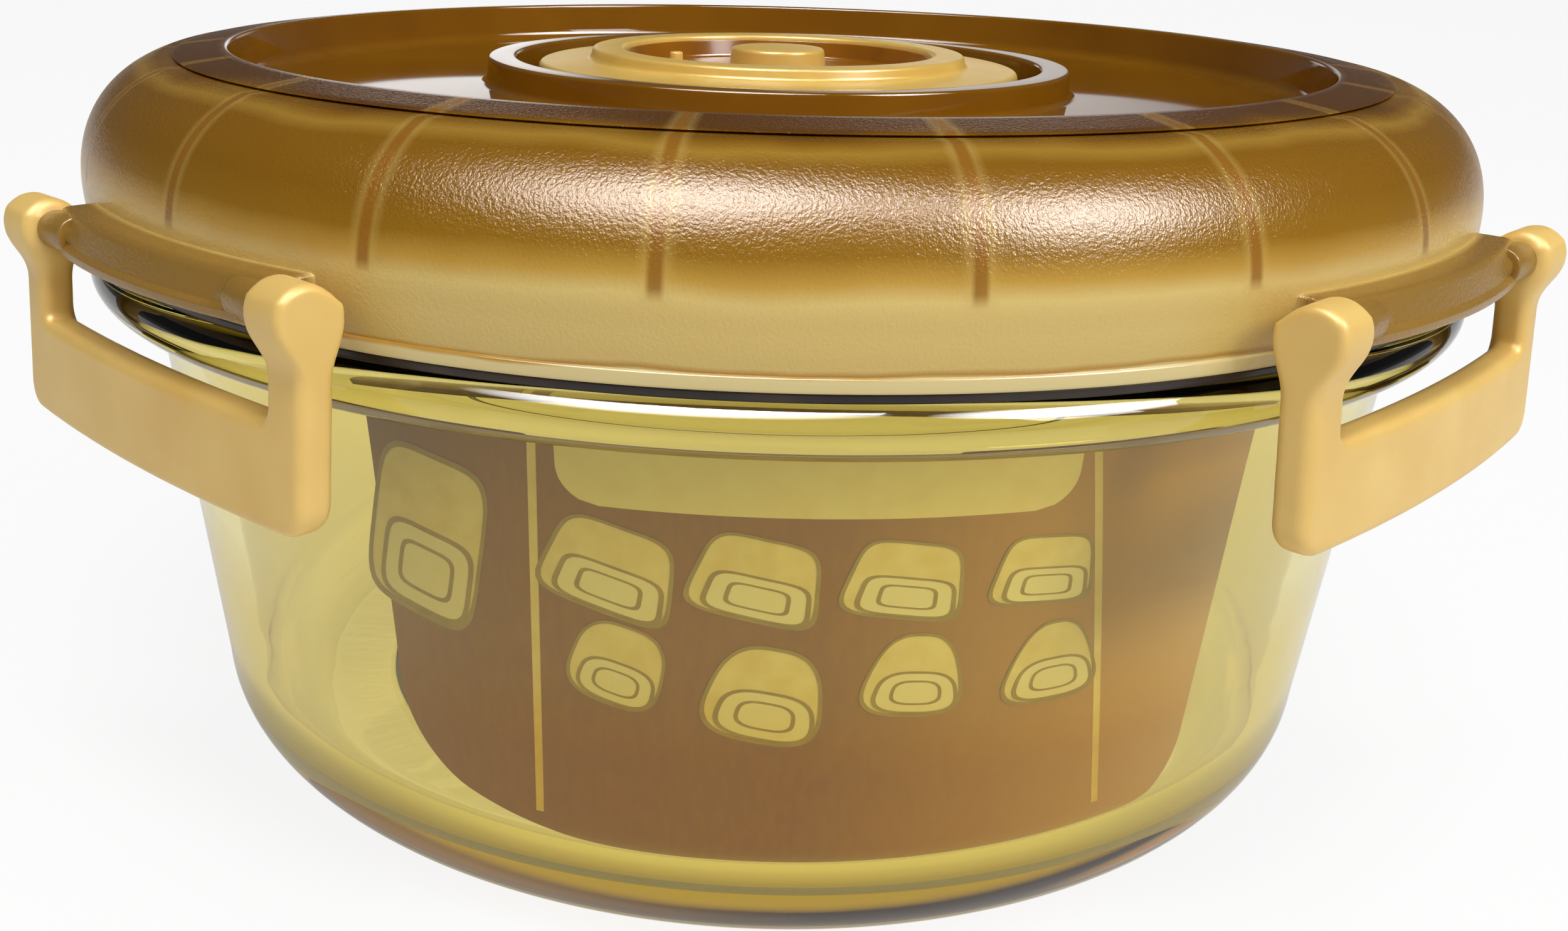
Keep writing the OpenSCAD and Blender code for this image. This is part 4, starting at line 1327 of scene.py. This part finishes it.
@dataclass
class Studio:
    """Pale floor, white surroundings, soft lamps and the camera."""

    camera_turn: float = 42.31           # round the bowl from -Y towards +X, degrees
    camera_away: float = 207.8
    camera_up: float = 105.7
    heading: float = 1.74                # aim left of the bowl's axis, degrees
    pitch: float = 20.79
    roll: float = 1.44
    lens: float = 35.97
    shift: tuple[float, float] = (0.0422, 0.0115)
    # soft light comes mostly from over the front: where its middle is, the dot products with it
    # between which it grows, and its levels there
    soft_way: tuple[float, float] = (25, 42)
    soft_from: float = 0.3
    soft_to: float = 0.95
    soft_low: float = 0.19
    soft_high: float = 0.798
    gloss_seen: float = 0.4              # how far gloss sees the white that the camera sees
    floor_white: float = 0.88            # how far the floor is plain white where it is seen
    floor_patch_mm: float = 333.33
    floor_half_mm: float = 6000.0
    # what gloss shows behind the softboxes: sine of the height, and level
    ceiling: tuple[tuple[float, float], ...] = ((0, 0.18), (0.05, 0.12), (0.12, 0.06), (1, 0.04))
    # softboxes and windows that gloss shows: turn, height, inner and outer half width, all in
    # degrees, and level
    boxes: tuple[tuple[float, float, float, float, float], ...] = (
        (-27, 66, 12, 25, 26.0), (64, 49, 7, 18, 36.0), (192, 5.5, 3, 6.5, 1.3), (172, 8, 3, 9, 0.7))

    def direction(self, turn: float, up: float) -> tuple[float, float, float]:
        """Unit direction from the bowl: turn degrees round from the camera's side, up degrees up."""
        a, b = math.radians(self.camera_turn + turn), math.radians(up)
        return math.sin(a) * math.cos(b), -math.cos(a) * math.cos(b), math.sin(b)

    def seen(self, tree: NodeTree) -> Node:
        """One where a surface is seen, through glass too, less in gloss, and nought for soft light."""
        path = add_node(tree, "LightPath").outputs
        value = add_node(tree, "Math", {"operation": "MULTIPLY"}, {
            0: path["Is Glossy Ray"], 1: self.gloss_seen})
        for kind in ("Is Transmission Ray", "Is Camera Ray"):
            value = add_node(tree, "Math", {"operation": "MAXIMUM"}, {0: value, 1: path[kind]})
        return value

    def floor(self) -> None:
        """Lays a wide pale floor under the bowl."""
        corners = self.floor_half_mm * np.array([[-1, -1, 0], [1, -1, 0], [1, 1, 0], [-1, 1, 0]])
        plane = make_object("floor", corners, [[0, 1, 2, 3]])
        material, tree, place = new_tree("white_sweep")
        noise = add_node(tree, "TexNoise", inputs={
            "Vector": place, "Scale": 1 / (self.floor_patch_mm * MM)})
        tone = add_node(tree, "ValToRGB", inputs={0: noise}, stops=[
            (0.3, colour("FAFAFA")), (0.7, colour("FFFFFF"))])
        matt = add_node(tree, "BsdfDiffuse", inputs={"Color": tone})
        white = add_node(tree, "Emission", inputs={"Color": (1, 1, 1, 1), "Strength": 1.0})
        seen = add_node(tree, "Math", {"operation": "MULTIPLY"}, {
            0: self.seen(tree), 1: self.floor_white})
        shader = add_node(tree, "MixShader", inputs={0: seen, 1: matt, 2: white})
        add_node(tree, "OutputMaterial", inputs={"Surface": shader})
        plane.data.materials.append(material)

    def world(self) -> None:
        """White surroundings: full white where seen and through glass, a dim ceiling in gloss."""
        world = bpy.data.worlds.new("studio")
        bpy.context.scene.world = world
        world.use_nodes = True
        tree = world.node_tree
        tree.nodes.clear()
        path = add_node(tree, "LightPath").outputs
        way = add_node(tree, "TexCoord").outputs["Generated"]
        axes = add_node(tree, "SeparateXYZ", inputs={0: way})
        gloss = add_node(tree, "ValToRGB", inputs={0: axes.outputs[2]}, stops=[
            (at, (level, level, level, 1)) for at, level in self.ceiling])
        # soft light comes mostly from over the front
        front = add_node(tree, "VectorMath", {"operation": "DOT_PRODUCT"}, {
            0: way, 1: self.direction(*self.soft_way)})
        soft = add_node(tree, "MapRange", inputs={
            "Value": front.outputs["Value"], "From Min": self.soft_from, "From Max": self.soft_to,
            "To Min": self.soft_low, "To Max": self.soft_high})
        level = add_node(tree, "MapRange", inputs={
            "Value": self.seen(tree), "To Min": soft, "To Max": 1.0})
        for turn, up, inner, outer, value in self.boxes:
            facing = add_node(tree, "VectorMath", {"operation": "DOT_PRODUCT"}, {
                0: way, 1: self.direction(turn, up)})
            box = add_node(tree, "MapRange", inputs={
                "Value": facing.outputs["Value"], "From Min": math.cos(math.radians(outer)),
                "From Max": math.cos(math.radians(inner)), "To Min": 0.0, "To Max": value})
            gloss = add_node(tree, "Math", {"operation": "ADD"}, {0: gloss, 1: box})
        # rays bent by glass count as gloss too, so only mirrored ones see the boxes
        mirrored = add_node(tree, "Math", {"operation": "MULTIPLY"}, {
            0: path["Is Glossy Ray"], 1: path["Is Reflection Ray"]})
        strength = add_node(tree, "MixRGB", inputs={0: mirrored, 1: level, 2: gloss})
        light = add_node(tree, "Background", inputs={"Color": strength, "Strength": 1.0})
        add_node(tree, "OutputWorld", inputs={"Surface": light})

    def lamp(self, name: str, turn: float, away: float, up: float, size: tuple[float, float],
             power: float) -> None:
        """Adds a soft rectangular lamp aimed at the lid.

        Args:
            name: its name.
            turn: degrees round from the camera's side.
            away: distance from the bowl's axis, in metres.
            up: height above the floor, in metres.
            size: width and depth of the lamp, in metres.
            power: in watts.
        """
        data = bpy.data.lights.new(name, "AREA")
        data.shape = "RECTANGLE"
        data.size, data.size_y = size
        data.energy = power
        lamp = bpy.data.objects.new(name, data)
        a = math.radians(self.camera_turn + turn)
        place = Vector((math.sin(a) * away, -math.cos(a) * away, up))
        lamp.location = place
        aim = Vector((0, 0, 60.0 * MM))
        lamp.rotation_euler = (aim - place).to_track_quat("-Z", "Y").to_euler()
        bpy.context.scene.collection.objects.link(lamp)

    def camera(self) -> None:
        """Sets the camera: it stands at camera_turn, looks down by pitch and leans by roll."""
        data = bpy.data.cameras.new("camera")
        data.lens, data.sensor_width = self.lens, 36.0
        data.shift_x, data.shift_y = self.shift
        data.clip_start = 0.01
        camera = bpy.data.objects.new("camera", data)
        a = math.radians(self.camera_turn)
        place = Vector((math.sin(a), -math.cos(a), 0)) * self.camera_away * MM
        place.z = self.camera_up * MM
        facing = (Matrix.Rotation(math.radians(self.camera_turn + self.heading), 4, "Z")
                  @ Matrix.Rotation(math.radians(90 - self.pitch), 4, "X")
                  @ Matrix.Rotation(math.radians(self.roll), 4, "Z"))
        camera.matrix_world = Matrix.Translation(place) @ facing
        bpy.context.scene.collection.objects.link(camera)
        bpy.context.scene.camera = camera

    def build(self) -> None:
        """Builds the whole studio."""
        self.camera()
        self.floor()
        self.world()
        self.lamp("overhead", 0, 0.28, 0.75, (0.34, 0.12), 2.2)
        self.lamp("key", 50, 0.67, 0.5, (0.22, 0.22), 1.7)
        bpy.context.scene.view_settings.view_transform = "Standard"


def main() -> None:
    """Builds the studio and every piece in order."""
    Studio().build()
    bowl = GlassBowl()
    bowl.build()
    CardInsert(bowl).build()
    lid = LidShell()
    lid.build()
    LidSeal(lid).build()
    Vent(lid).build()
    Latch(lid, bowl.bead_h).build()


if __name__ == "__main__":
    main()
